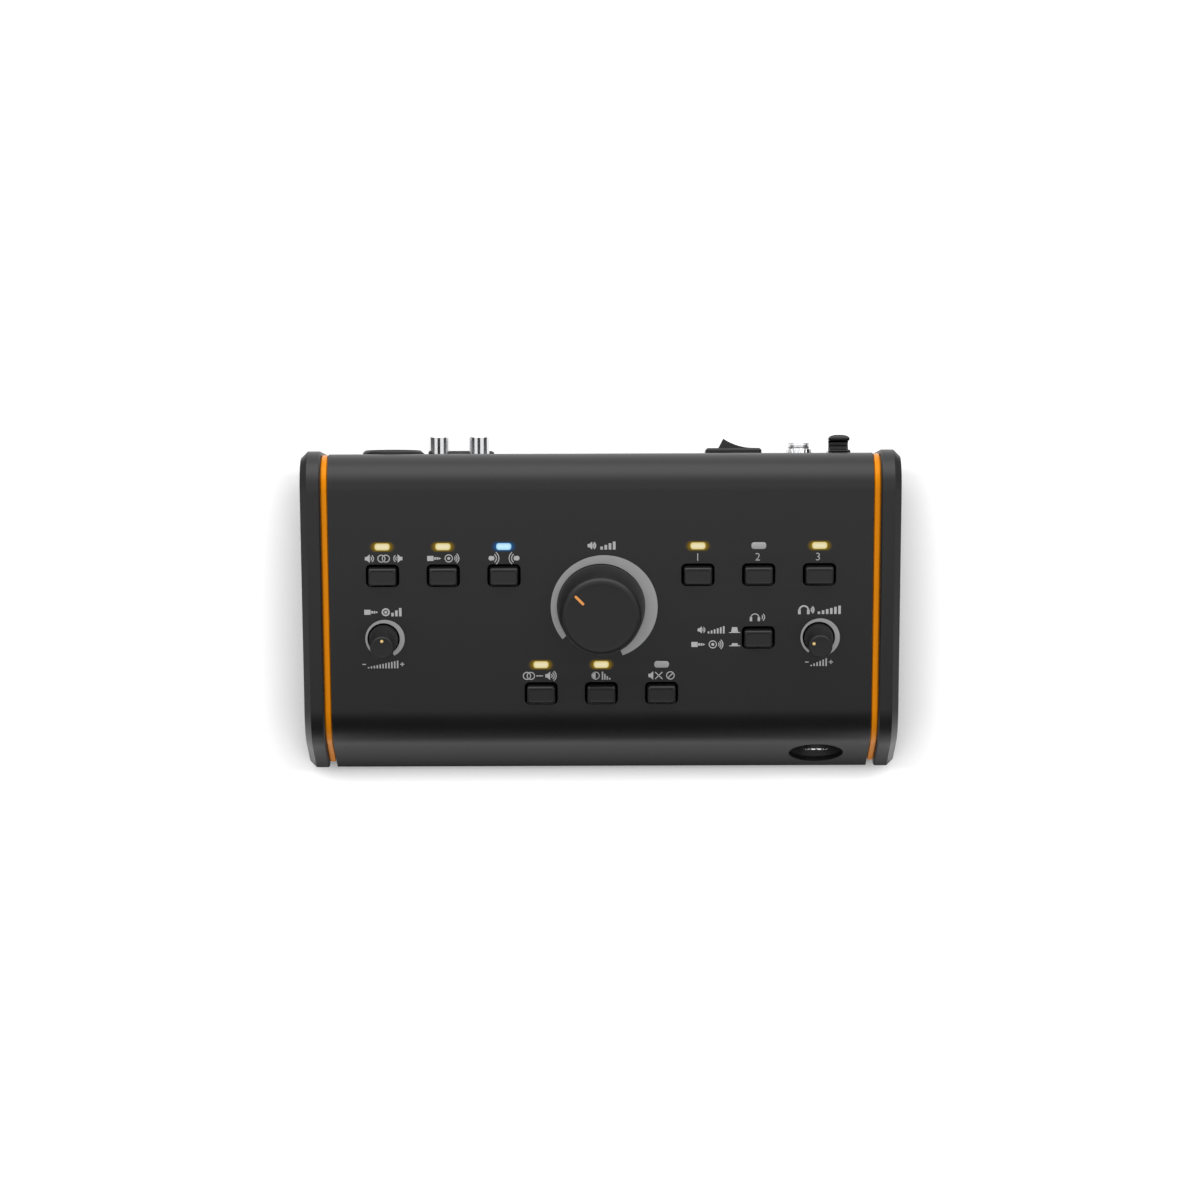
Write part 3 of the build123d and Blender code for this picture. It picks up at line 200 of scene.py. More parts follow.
# %% Tree: the nodes of one material, or of the world
class Tree:
    """The nodes of a material or of the world, added call by call."""

    def __init__(self, owner):
        owner.use_nodes = True
        self.nodes = owner.node_tree.nodes
        self.links = owner.node_tree.links

    def put(self, socket, value):
        if isinstance(value, Wire):
            self.links.new(value.socket, socket)
        else:
            socket.default_value = value

    def node(self, kind, settings=None, inputs=None, output=0):
        """Any node: its type, its settings, then the values or wires of its inputs."""
        made = self.nodes.new(kind)
        for name, value in (settings or {}).items():
            setattr(made, name, value)
        for name, value in (inputs or {}).items():
            self.put(made.inputs[name], value)
        return Wire(self, made.outputs[output])

    def math(self, operation, first, second):
        return self.node("ShaderNodeMath", {"operation": operation}, {0: first, 1: second})

    def mix(self, first, second, factor):
        """A colour between two, by a factor from 0 to 1."""
        return self.node("ShaderNodeMix", {"data_type": "RGBA"}, {0: factor, 6: first, 7: second}, 2)

    def place(self):
        """The point's place on the piece, which stays with it when it moves."""
        return self.node("ShaderNodeTexCoord", output="Object")

    def noise(self, size_mm, detail=2.0):
        """Soft irregular spots of about that size, from 0 to 1."""
        inputs = {"Vector": self.place(), "Scale": 1 / (size_mm * MM), "Detail": detail}
        return self.node("ShaderNodeTexNoise", None, inputs)


print("a tree can:", ", ".join(name for name in vars(Tree) if not name.startswith("_")))

# %% [markdown]
# A finish starts as a Principled shader. Numbers that are the same all over are set on the
# shader's own sockets. What varies is wired in with `feed`, and only where it can be baked:
# colour, roughness, emission, alpha and the normal.

# %% Finish: a material that is built call by call
def shade(red, green, blue):
    """A colour in the everyday 0 to 255 notation, as the linear one that a shader works in."""
    linear = [((c / 255 + 0.055) / 1.055) ** 2.4 if c > 10 else c / 255 / 12.92 for c in (red, green, blue)]
    return (*linear, 1.0)


def grey(level):
    return shade(level, level, level)


class Finish(Tree):
    """A material with a Principled shader."""

    def __init__(self, name, **constants):
        self.material = bpy.data.materials.new(name)
        super().__init__(self.material)
        self.nodes.clear()
        self.shader = self.nodes.new("ShaderNodeBsdfPrincipled")
        output = self.nodes.new("ShaderNodeOutputMaterial")
        self.links.new(self.shader.outputs[0], output.inputs[0])
        for name, value in constants.items():
            self.feed(name.replace("_", " "), value)

    def feed(self, socket, value):
        """Set or wire one of the shader's own sockets."""
        self.put(self.shader.inputs[socket], value)

    def relief(self, height, depth_mm, edge_mm=0.0):
        """Bump from a height, over edges that catch the light as if rounded to edge_mm."""
        inputs = {"Height": height, "Distance": depth_mm * MM}
        if edge_mm:
            inputs["Normal"] = self.node("ShaderNodeBevel", {"samples": 6}, {"Radius": edge_mm * MM})
        self.feed("Normal", self.node("ShaderNodeBump", None, inputs))


print("white as the shader sees it:", [round(c, 3) for c in grey(255)])

# %% [markdown]
# ## Grained surfaces
# Powder coat, moulded plastic and rubber are one idea with different numbers: a fine grain that
# lifts the surface and scatters its gloss, over broad faint clouds in the colour. One function
# makes them all. What differs is the size of the grain, how deep it is and how glossy it lies.

# %% A function for every grained finish
CLOUD_MM, CLOUD_PART, CLOUD_TONE = 28.0, 0.65, 0.14


def toned(colour, factor):
    """A colour made darker or lighter by a factor."""
    return tuple(factor * c for c in colour[:3]) + (1.0,)


def grained(name, colour, roughness, grain_mm, depth_mm, edge_mm=0.0, spread=0.10, **constants):
    """A coat or plastic of that colour, with a grain of that size and depth."""
    finish = Finish(name, **constants)
    grain = finish.noise(grain_mm, 3.0)
    clouds = finish.noise(CLOUD_MM, 3.0)
    darker, lighter = toned(colour, 1 - CLOUD_TONE), toned(colour, 1 + CLOUD_TONE)
    finish.feed("Base Color", finish.mix(darker, lighter, CLOUD_PART * clouds + (1 - CLOUD_PART) * grain))
    finish.feed("Roughness", roughness + spread * (grain - 0.5) + 0.5 * spread * (clouds - 0.5))
    finish.relief(grain, depth_mm, edge_mm)
    return finish.material


# orange paint reflects warm light only, which a tint of its sheen gives
ORANGE, ORANGE_SHEEN = (0.92, 0.285, 0.0008, 1.0), (1.0, 0.66, 0.22, 1.0)
finishes = {
    "black_shell": grained("black_shell_coat", shade(20, 20, 20.5), 0.40, 0.30, 0.006, 0.15),
    # the same black as the shell's coat, painted a little lighter: painted light for the light that falls on the
    # cheeks
    "black_cheek": grained("black_cheek_coat", shade(26, 26, 26.5), 0.40, 0.30, 0.006, 0.15),
    "orange_spacer": grained(
        "orange_satin_paint", ORANGE, 0.28, 0.5, 0.003, 0.0, 0.06, Specular_Tint=ORANGE_SHEEN
    ),
    "foot_rubber": grained("foot_rubber", shade(30, 30, 30), 0.85, 0.22, 0.03, 0.3),
    "knob_black": grained("knob_soft_plastic", shade(23, 23, 23), 0.46, 0.16, 0.005, 0.0),
    "button_black": grained("button_plastic", shade(19, 19, 19.5), 0.34, 0.22, 0.004, 0.0),
    "socket_black": grained("socket_moulding", shade(26, 26, 26), 0.48, 0.2, 0.008, 0.25),
    "switch_black": grained("rocker_moulding", shade(27, 27, 27), 0.33, 0.25, 0.004, 0.3),
    "hook_black": grained("hook_gloss_moulding", shade(9, 9, 9), 0.14, 0.9, 0.004, 0.4, 0.05),
    "switch_body": grained("component_moulding", shade(48, 48, 52), 0.5, 0.3, 0.006, 0.1),
    "pot_body": grained("potentiometer_body", shade(38, 44, 60), 0.42, 0.25, 0.004, 0.1),
    # near black and without gloss: painted shade for the gaps round the caps
    "dust_felt": grained("dust_felt", shade(4, 4, 4), 0.95, 0.3, 0.01, Specular_IOR_Level=0.0),
    "pointer_orange": grained("pointer_inlay", (1.0, 0.40, 0.10, 1.0), 0.4, 0.3, 0.003, 0.0),
    # a paler copy of the pointer's orange: painted light for the bright middles of the dots
    "pale_orange": grained("dot_inlay", (1.0, 0.68, 0.27, 1.0), 0.4, 0.3, 0.003, 0.0),
}
print("grained finishes:", ", ".join(finishes))

# %% [markdown]
# ## Metal
# Turned and plated parts keep fine circular tool marks, and rolled sheet keeps long straight
# ones. Both are noise that is squeezed in one direction: the marks run where it is stretched.

# %% Metals with their tool marks
MARKS_PER_M, MARK_TONE, SMEAR_MM = 4000.0, 0.82, 6.0


def metal(name, colour, roughness, stretch, edge_mm=0.15, depth_mm=0.003):
    """A bare or plated metal. Stretch shrinks the noise's coordinates along each axis."""
    finish = Finish(name, Metallic=1.0)
    squeezed = finish.node(
        "ShaderNodeVectorMath", {"operation": "MULTIPLY"}, {0: finish.place(), 1: stretch}
    )
    marks = finish.node("ShaderNodeTexNoise", None, {"Vector": squeezed, "Scale": MARKS_PER_M, "Detail": 2.0})
    finish.feed("Base Color", finish.mix(toned(colour, MARK_TONE), colour, marks))
    finish.feed("Roughness", roughness + 0.12 * (finish.noise(SMEAR_MM) - 0.5) + 0.10 * (marks - 0.5))
    finish.relief(marks, depth_mm, edge_mm)
    return finish.material


TURNED, ROLLED, PLAIN = (0.25, 1.0, 0.25), (1.0, 0.04, 1.0), (1.0, 1.0, 1.0)
metals = {
    "plated_metal": metal("bright_plating", shade(236, 236, 238), 0.10, TURNED, 0.1, 0.001),
    "satin_plating": metal("satin_plating", shade(240, 240, 242), 0.30, TURNED, 0.1, 0.001),
    "bare_aluminium": metal("rolled_aluminium", shade(200, 201, 204), 0.36, ROLLED),
    "black_screw": metal("black_zinc", shade(52, 52, 56), 0.34, PLAIN),
}
finishes.update(metals)
print("metals:", ", ".join(metals))

# %% [markdown]
# ## Circuit boards and cable
# Nobody sees the boards until the lid is off, but they have a finish too. Solder mask is glossy,
# and the copper tracks under it show as paler lines: here the edges of a cell pattern. A flat
# cable is a row of ridges, which a sine across it gives; the same sine paints the ridges' tops
# lighter and the grooves between them darker, as painted light and shade.

# %% Board and cable finishes
CELLS_PER_M, TRACK_LEVEL = 260.0, 0.62
RIBBON_PITCH = 1.27 * MM

board = Finish("solder_mask", Coat_Weight=0.4)
cell_inputs = {"Vector": board.place(), "Scale": CELLS_PER_M}
tracks = board.node("ShaderNodeTexVoronoi", {"distance": "MANHATTAN"}, cell_inputs).over(TRACK_LEVEL)
board.feed("Base Color", board.mix(shade(12, 74, 44), shade(34, 112, 70), tracks))
board.feed("Roughness", 0.32 + 0.12 * board.noise(3.0))
board.relief(tracks, 0.02)
finishes["board_green"] = board.material

cable = Finish("ribbon_cable")
across = cable.node("ShaderNodeSeparateXYZ", None, {0: cable.place()})
ridges = cable.node("ShaderNodeMath", {"operation": "SINE"}, {0: across * (2 * pi / RIBBON_PITCH)})
# painted light and shade: lighter on the ridges' tops, darker in the grooves
cable.feed("Base Color", cable.mix(shade(120, 120, 122), shade(172, 172, 174), 0.5 + 0.5 * ridges))
cable.feed("Roughness", 0.45 + 0.1 * cable.noise(1.0))
cable.relief(ridges, 0.15)
finishes["cable_grey"] = cable.material
print("board and cable finishes made")

# %% [markdown]
# ## Indicator windows
# A light pipe glows brightest in its middle, and at its rim the colour turns deeper. The lens
# meshes carry a number called "rim", from 0 in the middle to 1 at the edge, and the emission
# colour follows it. Emission near 1 shows the colour as it is written. An unlit window is just
# frosted plastic.

# %% Lamp finishes
CORE_REACH, RIM_POWER = 1.6, 4.0


def lamp(name, core, middle, rim):
    """A window that glows in three tones from its middle to its rim."""
    finish = Finish(name, Base_Color=(0.02, 0.02, 0.02, 1.0), Emission_Strength=1.0)
    edge = finish.node("ShaderNodeAttribute", {"attribute_name": "rim"}, None, "Fac")
    speckle = 0.12 * (finish.noise(0.5) - 0.5)
    inner = finish.mix(core, middle, edge * CORE_REACH + speckle)
    finish.feed("Emission Color", finish.mix(inner, rim, edge ** RIM_POWER))
    finish.feed("Roughness", 0.35 + 0.2 * finish.noise(0.4))
    return finish.material


lamp_colours = {
    "lamp_amber": (shade(231, 220, 180), shade(223, 213, 160), shade(196, 172, 92)),
    "lamp_blue": (shade(194, 235, 253), shade(183, 227, 249), shade(110, 172, 212)),
}
for slot, tones in lamp_colours.items():
    finishes[slot] = lamp(slot + "_lit", *tones)
finishes["lamp_unlit"] = grained("lamp_window_unlit", shade(176, 176, 177), 0.45, 0.25, 0.004, 0.0, 0.1)
print("lit windows:", ", ".join(lamp_colours))

# %% [markdown]
# A lit window also throws a little of its light on the paint round it. That is a film with
# nothing to it but emission, and it fades out through its alpha.

# %% The glow round a lit window
BLACK, GLOW_POWER = (0.0, 0.0, 0.0, 1.0), 1.6


def lightless(name, **constants):
    """A finish that reflects nothing, so that only its emission shows."""
    return Finish(name, Base_Color=BLACK, Roughness=1.0, Specular_IOR_Level=0.0, **constants)


def glow(name, colour):
    """A film that glows at its inner edge and fades away at its outer one."""
    finish = lightless(name, Emission_Color=colour, Emission_Strength=1.0)
    edge = finish.node("ShaderNodeAttribute", {"attribute_name": "rim"}, None, "Fac")
    finish.feed("Alpha", (1 - edge) ** GLOW_POWER * (0.8 + 0.2 * finish.noise(0.4)))
    return finish.material


glow_films = {
    "lamp_amber": glow("amber_glow", shade(146, 118, 26)),
    "lamp_blue": glow("blue_glow", shade(42, 94, 148)),
}
print("glow films:", ", ".join(glow_films))

# %% [markdown]
# ## Ink
# The marks on the panel are screen print: a thin matt layer of grey ink that is never quite
# even, so both its tone and its gloss vary at the size of a screen's mesh.

# %% Ink finishes
SCREEN_MM, PATCH_MM, THIN_TONE = 0.18, 5.0, 0.84


def ink(name, colour, roughness=0.55):
    """Screen-printed ink."""
    finish = Finish(name)
    mesh, patches = finish.noise(SCREEN_MM), finish.noise(PATCH_MM)
    finish.feed("Base Color", finish.mix(toned(colour, THIN_TONE), colour, 0.5 * mesh + 0.5 * patches))
    finish.feed("Roughness", roughness + 0.15 * (mesh - 0.5))
    finish.relief(mesh, 0.004)
    return finish.material


grey_ink = ink("grey_ink", grey(206))
arc_ink = ink("arc_ink", grey(184), 0.5)
print("inks:", grey_ink.name, arc_ink.name)

# %% [markdown]
# ## Making meshes
# Almost every piece here is one of three shapes: a stack of rings that are joined up (a loft), a
# profile that is spun round an axis (a lathe), or a flat outline with a little thickness. The
# rings of a loft all have the same number of points, so a circle can turn into a rectangle.

# %% Rings
def corner_arc(before, corner, after, radius, steps):
    """The rounded corner between two straight runs, as points."""
    back = (before - corner).normalized()
    forth = (after - corner).normalized()
    half = back.angle(forth) / 2
    centre = corner + (back + forth).normalized() * (radius / sin(half))
    start = (corner + back * (radius / tan(half)) - centre).normalized()
    end = (corner + forth * (radius / tan(half)) - centre).normalized()
    return [centre + start.slerp(end, i / steps) * radius for i in range(steps + 1)]


def rounded(corners, radii, steps=6):
    """A closed outline with rounded corners, as 2D points."""
    count = len(corners)
    outline = []
    for i, corner in enumerate(corners):
        outline += corner_arc(corners[i - 1], corner, corners[(i + 1) % count], max(radii[i], 1e-3), steps)
    return outline


def pad(width, height, corner, steps=6):
    """The outline of a rectangle with round corners, about its own middle. Equal sides and a
    corner of half their length give a circle with the same number of points."""
    x, y = width / 2, height / 2
    corners = [Vector(place) for place in ((x, -y), (x, y), (-x, y), (-x, -y))]
    return rounded(corners, [min(corner, 0.999 * x, 0.999 * y)] * 4, steps)


def drawn_in(size, inset):
    """Width and height of a rectangle whose sides are all drawn in."""
    return [side - 2 * inset for side in size]


print("a rounded rectangle has", len(pad(10, 7, 1)), "points")

# %% [markdown]
# A loft joins ring to ring with four-sided faces and closes its two ends. A lathe is a loft
# whose rings are circles round an axis; where the profile touches the axis it ends in a fan.

# %% Loft and lathe
def skin(bm, rows):
    """Four-sided faces between rows of points that each run round."""
    for low, high in zip(rows, rows[1:]):
        for i in range(len(low)):
            j = (i + 1) % len(low)
            bm.faces.new((low[i], low[j], high[j], high[i]))


def loft(rings, rims=None, bm=None):
    """A closed skin over rings of points. Rims gives each ring a value for the finish to use."""
    bm = bm or bmesh.new()
    layer = bm.verts.layers.float.get("rim") or bm.verts.layers.float.new("rim")
    rows = [[bm.verts.new(point) for point in ring] for ring in rings]
    for index, row in enumerate(rows):
        for vertex in row:
            vertex[layer] = rims[index] if rims else 0.0
    skin(bm, rows)
    bm.faces.new(rows[0][::-1])
    bm.faces.new(rows[-1])
    return bm


def lathe(profile, centre, axis, bm=None, steps=96, wave=None):
    """Spin (radius, height) pairs, in millimetres, round an axis. Wave may vary the radius."""
    bm = bm or bmesh.new()
    axis = Vector(axis).normalized()
    side = (ACROSS - axis * ACROSS.dot(axis)).normalized()
    other = axis.cross(side)
    rows = []
    for radius, height in profile:
        middle = Vector(centre) + axis * height * MM
        if radius < 1e-6:
            rows.append([bm.verts.new(middle)] * steps)
            continue
        row = []
        for step in range(steps):
            turn = 2 * pi * step / steps
            reach = (wave(radius, height, turn) if wave else radius) * MM
            row.append(bm.verts.new(middle + side * cos(turn) * reach + other * sin(turn) * reach))
        rows.append(row)
    for low, high in zip(rows, rows[1:]):
        for i in range(steps):
            j = (i + 1) % steps
            corners = list(dict.fromkeys((low[i], low[j], high[j], high[i])))
            if len(corners) > 2:
                bm.faces.new(corners)
    return bm


print("a loft joins rings, and a lathe spins a profile")

# %% [markdown]
# A raw mesh becomes a piece in one place. Faces that meet softly are shaded as one curved
# surface, sharper ones keep their edge, and Weighted Normal keeps large flats flat beside small
# bevels. Then the piece rides on its body and names the finish that it takes.

# %% Settle a mesh as a piece of the part
WELD = 2e-7                     # points closer than this, in metres, become one


def settle(bm, name, finish, body, slot, replaces=(), crease=32.0):
    """Make a piece from a finished bmesh."""
    bmesh.ops.remove_doubles(bm, verts=bm.verts, dist=WELD)
    bmesh.ops.recalc_face_normals(bm, faces=bm.faces)
    mesh = bpy.data.meshes.new(name)
    bm.to_mesh(mesh)
    bm.free()
    mesh.materials.append(finish)
    mesh.shade_smooth()
    mesh.set_sharp_from_angle(angle=radians(crease))
    piece = bpy.data.objects.new(name, mesh)
    scene.collection.objects.link(piece)
    piece.modifiers.new("weighted normals", "WEIGHTED_NORMAL").keep_sharp = True
    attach(piece, body)
    if replaces:
        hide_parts(*replaces)
    return piece


# %% [markdown]
# ## The bent sheet
# The front face, the control panel and the rear curve are one steel sheet, punched flat and then
# bent, and that is how it is modelled. A filled curve with a bevel gives the flat blank with all
# its holes and the small radius that coating leaves on every edge.

# %% The blank's sizes
WALL = 2.0
EDGE = 0.18                     # radius that the coating gives an edge
FRONT_Y, REAR_Y, FOOT_Z = -64.75, 57.2, 4.0
LEAN = radians(20.0)            # the front face leans back
FRONT_BEND, REAR_BEND = 20.0, 11.5
LIP = 0.5                       # straight sheet under the rear bend
SHEET_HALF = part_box("top_shell")[1].x / MM

front_way = Vector((sin(LEAN), cos(LEAN)))
panel_way = Vector((cos(SLOPE), sin(SLOPE)))
panel_at = Vector((ORIGIN.y, ORIGIN.z)) / MM


def meet(first, first_way, second, second_way):
    """Where two lines of the side view cross, each given by a point and a direction."""
    gap = second - first
    scale = (gap.x * second_way.y - gap.y * second_way.x) / (
        first_way.x * second_way.y - first_way.y * second_way.x
    )
    return first + first_way * scale


front_foot = Vector((FRONT_Y, FOOT_Z))
front_corner = meet(front_foot, front_way, panel_at, panel_way)
rear_corner = meet(Vector((REAR_Y, 0)), Vector((0, 1)), panel_at, panel_way)
FRONT_TURN = pi / 2 - LEAN - SLOPE
REAR_TURN = pi / 2 + SLOPE
front_cut = FRONT_BEND * tan(FRONT_TURN / 2)
rear_cut = REAR_BEND * tan(REAR_TURN / 2)

# the sheet's runs, from its front foot: length, and the angle that it turns through
RUNS = [
    ((front_corner - front_foot).length - front_cut, 0.0),
    (FRONT_BEND * FRONT_TURN, FRONT_TURN),
    ((rear_corner - front_corner).length - front_cut - rear_cut, 0.0),
    (REAR_BEND * REAR_TURN, REAR_TURN),
    (LIP, 0.0),
]
SHEET_LENGTH = sum(length for length, _ in RUNS)
print("the blank is", round(2 * SHEET_HALF, 1), "x", round(SHEET_LENGTH, 1), "mm")

# %% [markdown]
# The holes' places come from the frame: each button, window and knob tells where it is. One CAD
# node holds all windows of a colour, so its points are sorted into groups that lie close.

# %% Where the holes are
CAP_SIZE, CAP_CORNER, CAP_GAP = (10.9, 7.1), 1.0, 0.85
LENS_SIZE, LENS_CORNER, LENS_GAP = (5.8, 2.7), 1.1, 0.05
SMALL_HOLE, BUSH_HOLE, PHONES_HOLE = 6.1, 4.65, 10.6
BUTTONS = [name for name in frame["nodes"] if name.startswith("button_") and name != "button_switches"]
BUTTON_AT = {name: panel_centre(name) for name in BUTTONS}
KNOB_AT = {name: panel_centre(f"{name}_knob") for name in ("aux", "phones")}


def blobs(node, reach=8.0):
    """Middles of the separate windows in one CAD node, found by which points lie close."""
    middles = []
    for vertex in frame["nodes"][node].data.vertices:
        place = to_panel(vertex.co)
        for group in middles:
            if abs(group[0].x - place.x) < reach and abs(group[0].y - place.y) < reach:
                group.append(place)
                break
        else:
            middles.append([place])
    return [
        ((min(p.x for p in g) + max(p.x for p in g)) / 2, (min(p.y for p in g) + max(p.y for p in g)) / 2)
        for g in middles
    ]


WINDOW_NODES = {"lamp_amber": "led_lenses_amber", "lamp_blue": "led_lens_blue", "lamp_unlit": "led_lenses_unlit"}
WINDOWS = {slot: blobs(node) for slot, node in WINDOW_NODES.items()}
phones_low, phones_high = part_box("phones_bush")
PHONES_AT = ((phones_low + phones_high) / 2) / MM
print("windows:", {slot: len(places) for slot, places in WINDOWS.items()})

# %% [markdown]
# Each hole is an outline about its own middle, moved to its place on the flat blank. The holes of
# the panel lie in the blank's middle run, and the headphone socket's in the front one.

# %% The holes' outlines
PANEL_RUN_START = RUNS[0][0] + RUNS[1][0]
panel_run_along = (front_corner - panel_at).dot(panel_way) + front_cut
holes = []


def round_outline(radius, steps=96):
    return [Vector((radius * cos(2 * pi * i / steps), radius * sin(2 * pi * i / steps))) for i in range(steps)]


def punch(outline, x, length):
    """Keep a hole's outline, moved to its place on the blank."""
    holes.append([point + Vector((x, length)) for point in outline])


def punch_panel(outline, places):
    """The same hole at several places of the control panel."""
    for x, along in places:
        punch(outline, x, PANEL_RUN_START + along - panel_run_along)


punch_panel(pad(*drawn_in(CAP_SIZE, -CAP_GAP), CAP_CORNER + CAP_GAP), BUTTON_AT.values())
for places in WINDOWS.values():
    punch_panel(pad(*drawn_in(LENS_SIZE, -LENS_GAP), LENS_CORNER), places)
punch_panel(round_outline(SMALL_HOLE), KNOB_AT.values())
punch_panel(round_outline(BUSH_HOLE), [(0, 0)])
punch(round_outline(PHONES_HOLE), PHONES_AT.x, (PHONES_AT.z - FOOT_Z) / cos(LEAN))
print(len(holes), "holes to punch")

# %% [markdown]
# A 2D curve fills the space between its outer outline and the outlines inside it, so it punches
# all the holes at once. Its extrusion is the sheet's thickness and its bevel the soft edge. As
# the bevel grows outwards, a negative offset takes it back so that the holes keep their size.

# %% Punch a blank
def punched(outlines, thickness, edge, resolution=1):
    """A flat plate with holes in the XY plane, as a bmesh in millimetres."""
    curve = bpy.data.curves.new("blank", "CURVE")
    curve.dimensions = "2D"
    curve.fill_mode = "BOTH"
    curve.extrude = thickness / 2 - edge
    curve.bevel_depth = edge
    curve.bevel_resolution = resolution
    curve.offset = -edge
    for outline in outlines:
        spline = curve.splines.new("POLY")
        spline.points.add(len(outline) - 1)
        for point, place in zip(spline.points, outline):
            point.co = (*place, 0, 1)
        spline.use_cyclic_u = True
    holder = bpy.data.objects.new("blank", curve)
    mesh = bpy.data.meshes.new_from_object(holder)
    bm = bmesh.new()
    bm.from_mesh(mesh)
    bmesh.ops.remove_doubles(bm, verts=bm.verts, dist=1e-4)
    for leftover, store in ((holder, bpy.data.objects), (mesh, bpy.data.meshes), (curve, bpy.data.curves)):
        store.remove(leftover)
    return bm


def rectangle(x0, y0, x1, y1):
    return [Vector(place) for place in ((x0, y0), (x1, y0), (x1, y1), (x0, y1))]


sheet = punched([rectangle(-SHEET_HALF, 0, SHEET_HALF, SHEET_LENGTH)] + holes, WALL, EDGE)
print("blank:", len(sheet.faces), "faces")

# %% [markdown]
# Bending needs rows of points across the bends, so the blank is cut every two and a half
# degrees there, and once just before each bend, so that the flats stay flat. Then every point
# is carried from its length along the blank to its place on the bent line.

# %% Bend it
BEND_STEP, BEND_MARGIN = radians(2.5), 0.2


def cut_across(bm, length):
    geometry = bm.verts[:] + bm.edges[:] + bm.faces[:]
    bmesh.ops.bisect_plane(bm, geom=geometry, dist=1e-5, plane_co=(0, length, 0), plane_no=(0, 1, 0))


def bent(length):
    """The place and the outward direction in the side view, at a length along the sheet."""
    place, heading, gone = front_foot.copy(), atan2(front_way.y, front_way.x), 0.0
    for index, (run, turn) in enumerate(RUNS):
        part = length - gone if index == len(RUNS) - 1 else min(max(length - gone, 0.0), run)
        if index == 0 and length < 0:
            part = length
        if turn:
            radius = run / turn
            centre = place + Vector((sin(heading), -cos(heading))) * radius
            heading -= part / radius
            place = centre - Vector((sin(heading), -cos(heading))) * radius
        else:
            place = place + Vector((cos(heading), sin(heading))) * part
        gone += run
        if length <= gone:
            break
    return place, Vector((-sin(heading), cos(heading)))


start = 0.0
for run, turn in RUNS:
    if turn:
        steps = round(turn / BEND_STEP)
        cut_across(sheet, start - BEND_MARGIN)
        for step in range(steps + 1):
            cut_across(sheet, start + run * step / steps)
        cut_across(sheet, start + run + BEND_MARGIN)
    start += run
for vertex in sheet.verts:
    place, outward = bent(vertex.co.y)
    place = place + outward * (vertex.co.z - WALL / 2)
    vertex.co = Vector((vertex.co.x, place.x, place.y)) * MM
shell = settle(sheet, "bent_sheet", finishes["black_shell"], "case", "black_shell", ("top_shell",), 28.0)
print("bent sheet:", len(shell.data.polygons), "faces", [round(d / MM, 2) for d in shell.dimensions], "mm")

# %% [markdown]
# ## The orange bands
# Between the sheet and each cheek lies a flat orange plate, and only its rim is seen. The rim is
# a little narrower than the plate, so a dark line runs along each side of it. The plate is a
# loft from one face to the other: every ring is the case's side view, drawn in by some amount.

# %% The case's side view, and the bands
def side_outline(inset, foot_z, foot_radius=0.01, steps=18):
    """The closed side view of the case, drawn in by an inset, as places of y and z."""
    front_at = front_foot + Vector((cos(LEAN), -sin(LEAN))) * inset
    panel_in = panel_at + Vector((sin(SLOPE), -cos(SLOPE))) * inset
    rear_at, level = Vector((REAR_Y - inset, 0)), Vector((0, foot_z))
    corners = [
        meet(front_at, front_way, level, Vector((1, 0))),
        meet(front_at, front_way, panel_in, panel_way),
        meet(rear_at, Vector((0, 1)), panel_in, panel_way),
        Vector((REAR_Y - inset, foot_z)),
    ]
    return rounded(corners, [foot_radius, FRONT_BEND - inset, REAR_BEND - inset, foot_radius], steps)


BAND_INSET, BAND_FOOT = 0.35, 9.5
# how far from the plate's inner face, and how far inside its rim
BAND_STEPS = [
    (0.0, 0.9), (0.28, 0.9), (0.3, 0.35), (0.36, 0.14), (0.5, 0.03), (0.7, 0.0),
    (2.1, 0.0), (2.3, 0.03), (2.44, 0.14), (2.5, 0.35), (2.52, 0.9), (2.8, 0.9),
]
for side, name in ((-1, "left"), (1, "right")):
    low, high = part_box("spacer_" + name)
    inner_face = (high.x if side < 0 else low.x) / MM
    rings = []
    for out, inset in BAND_STEPS:
        x = inner_face + side * out
        outline = side_outline(BAND_INSET + inset, BAND_FOOT)
        rings.append([Vector((x, y, z)) * MM for y, z in outline])
    settle(loft(rings), "orange_band_" + name, finishes["orange_spacer"], "case", "orange_spacer",
           ("spacer_" + name,))
print("two bands,", BAND_STEPS[-2][0] - BAND_STEPS[1][0], "mm wide at the rim")

# %% [markdown]
# ## Push-button caps
# Each cap is a small moulded block with a flat top inside a broad rounded edge, and a fine line of
# light lies along that edge. Under the sheet it spreads into a flange that keeps it from falling
# out, and a stem reaches the switch. All of that is one loft, from the stem's end to the top. A
# felt pad lies on the flange, near black and without gloss: painted shade that makes the gap so black.

# %% Caps
CAP_RISE = 3.0
FLANGE_TOP, FLANGE_FOOT, FLANGE_SIZE, FLANGE_CORNER = -2.3, -3.3, (14.0, 10.2), 1.0
STEM_END, STEM = -9.6, (3.2, 3.2, 1.6)
CORNER_LOSS, CORNER_LEAST = 0.3, 0.12    # the corner's radius shrinks with the inset
# height above the panel, then how far the ring lies inside the cap's side
CAP_STEPS = [
    (FLANGE_TOP, 0.0), (2.20, 0.0), (2.46, 0.06), (2.68, 0.18), (2.85, 0.36), (2.96, 0.58), (CAP_RISE, 0.82),
    (2.985, 0.96), (2.955, 1.10), (2.945, 1.3), (2.942, 2.0), (2.94, 3.3),
]
FELT_STEPS = [(0.0, 0.15), (0.03, 0.0), (0.14, 0.0), (0.18, 0.15)]


def panel_ring(x, along, rise, width, height, corner):
    return [on_panel(x + point.x, along + point.y, rise) for point in pad(width, height, corner)]


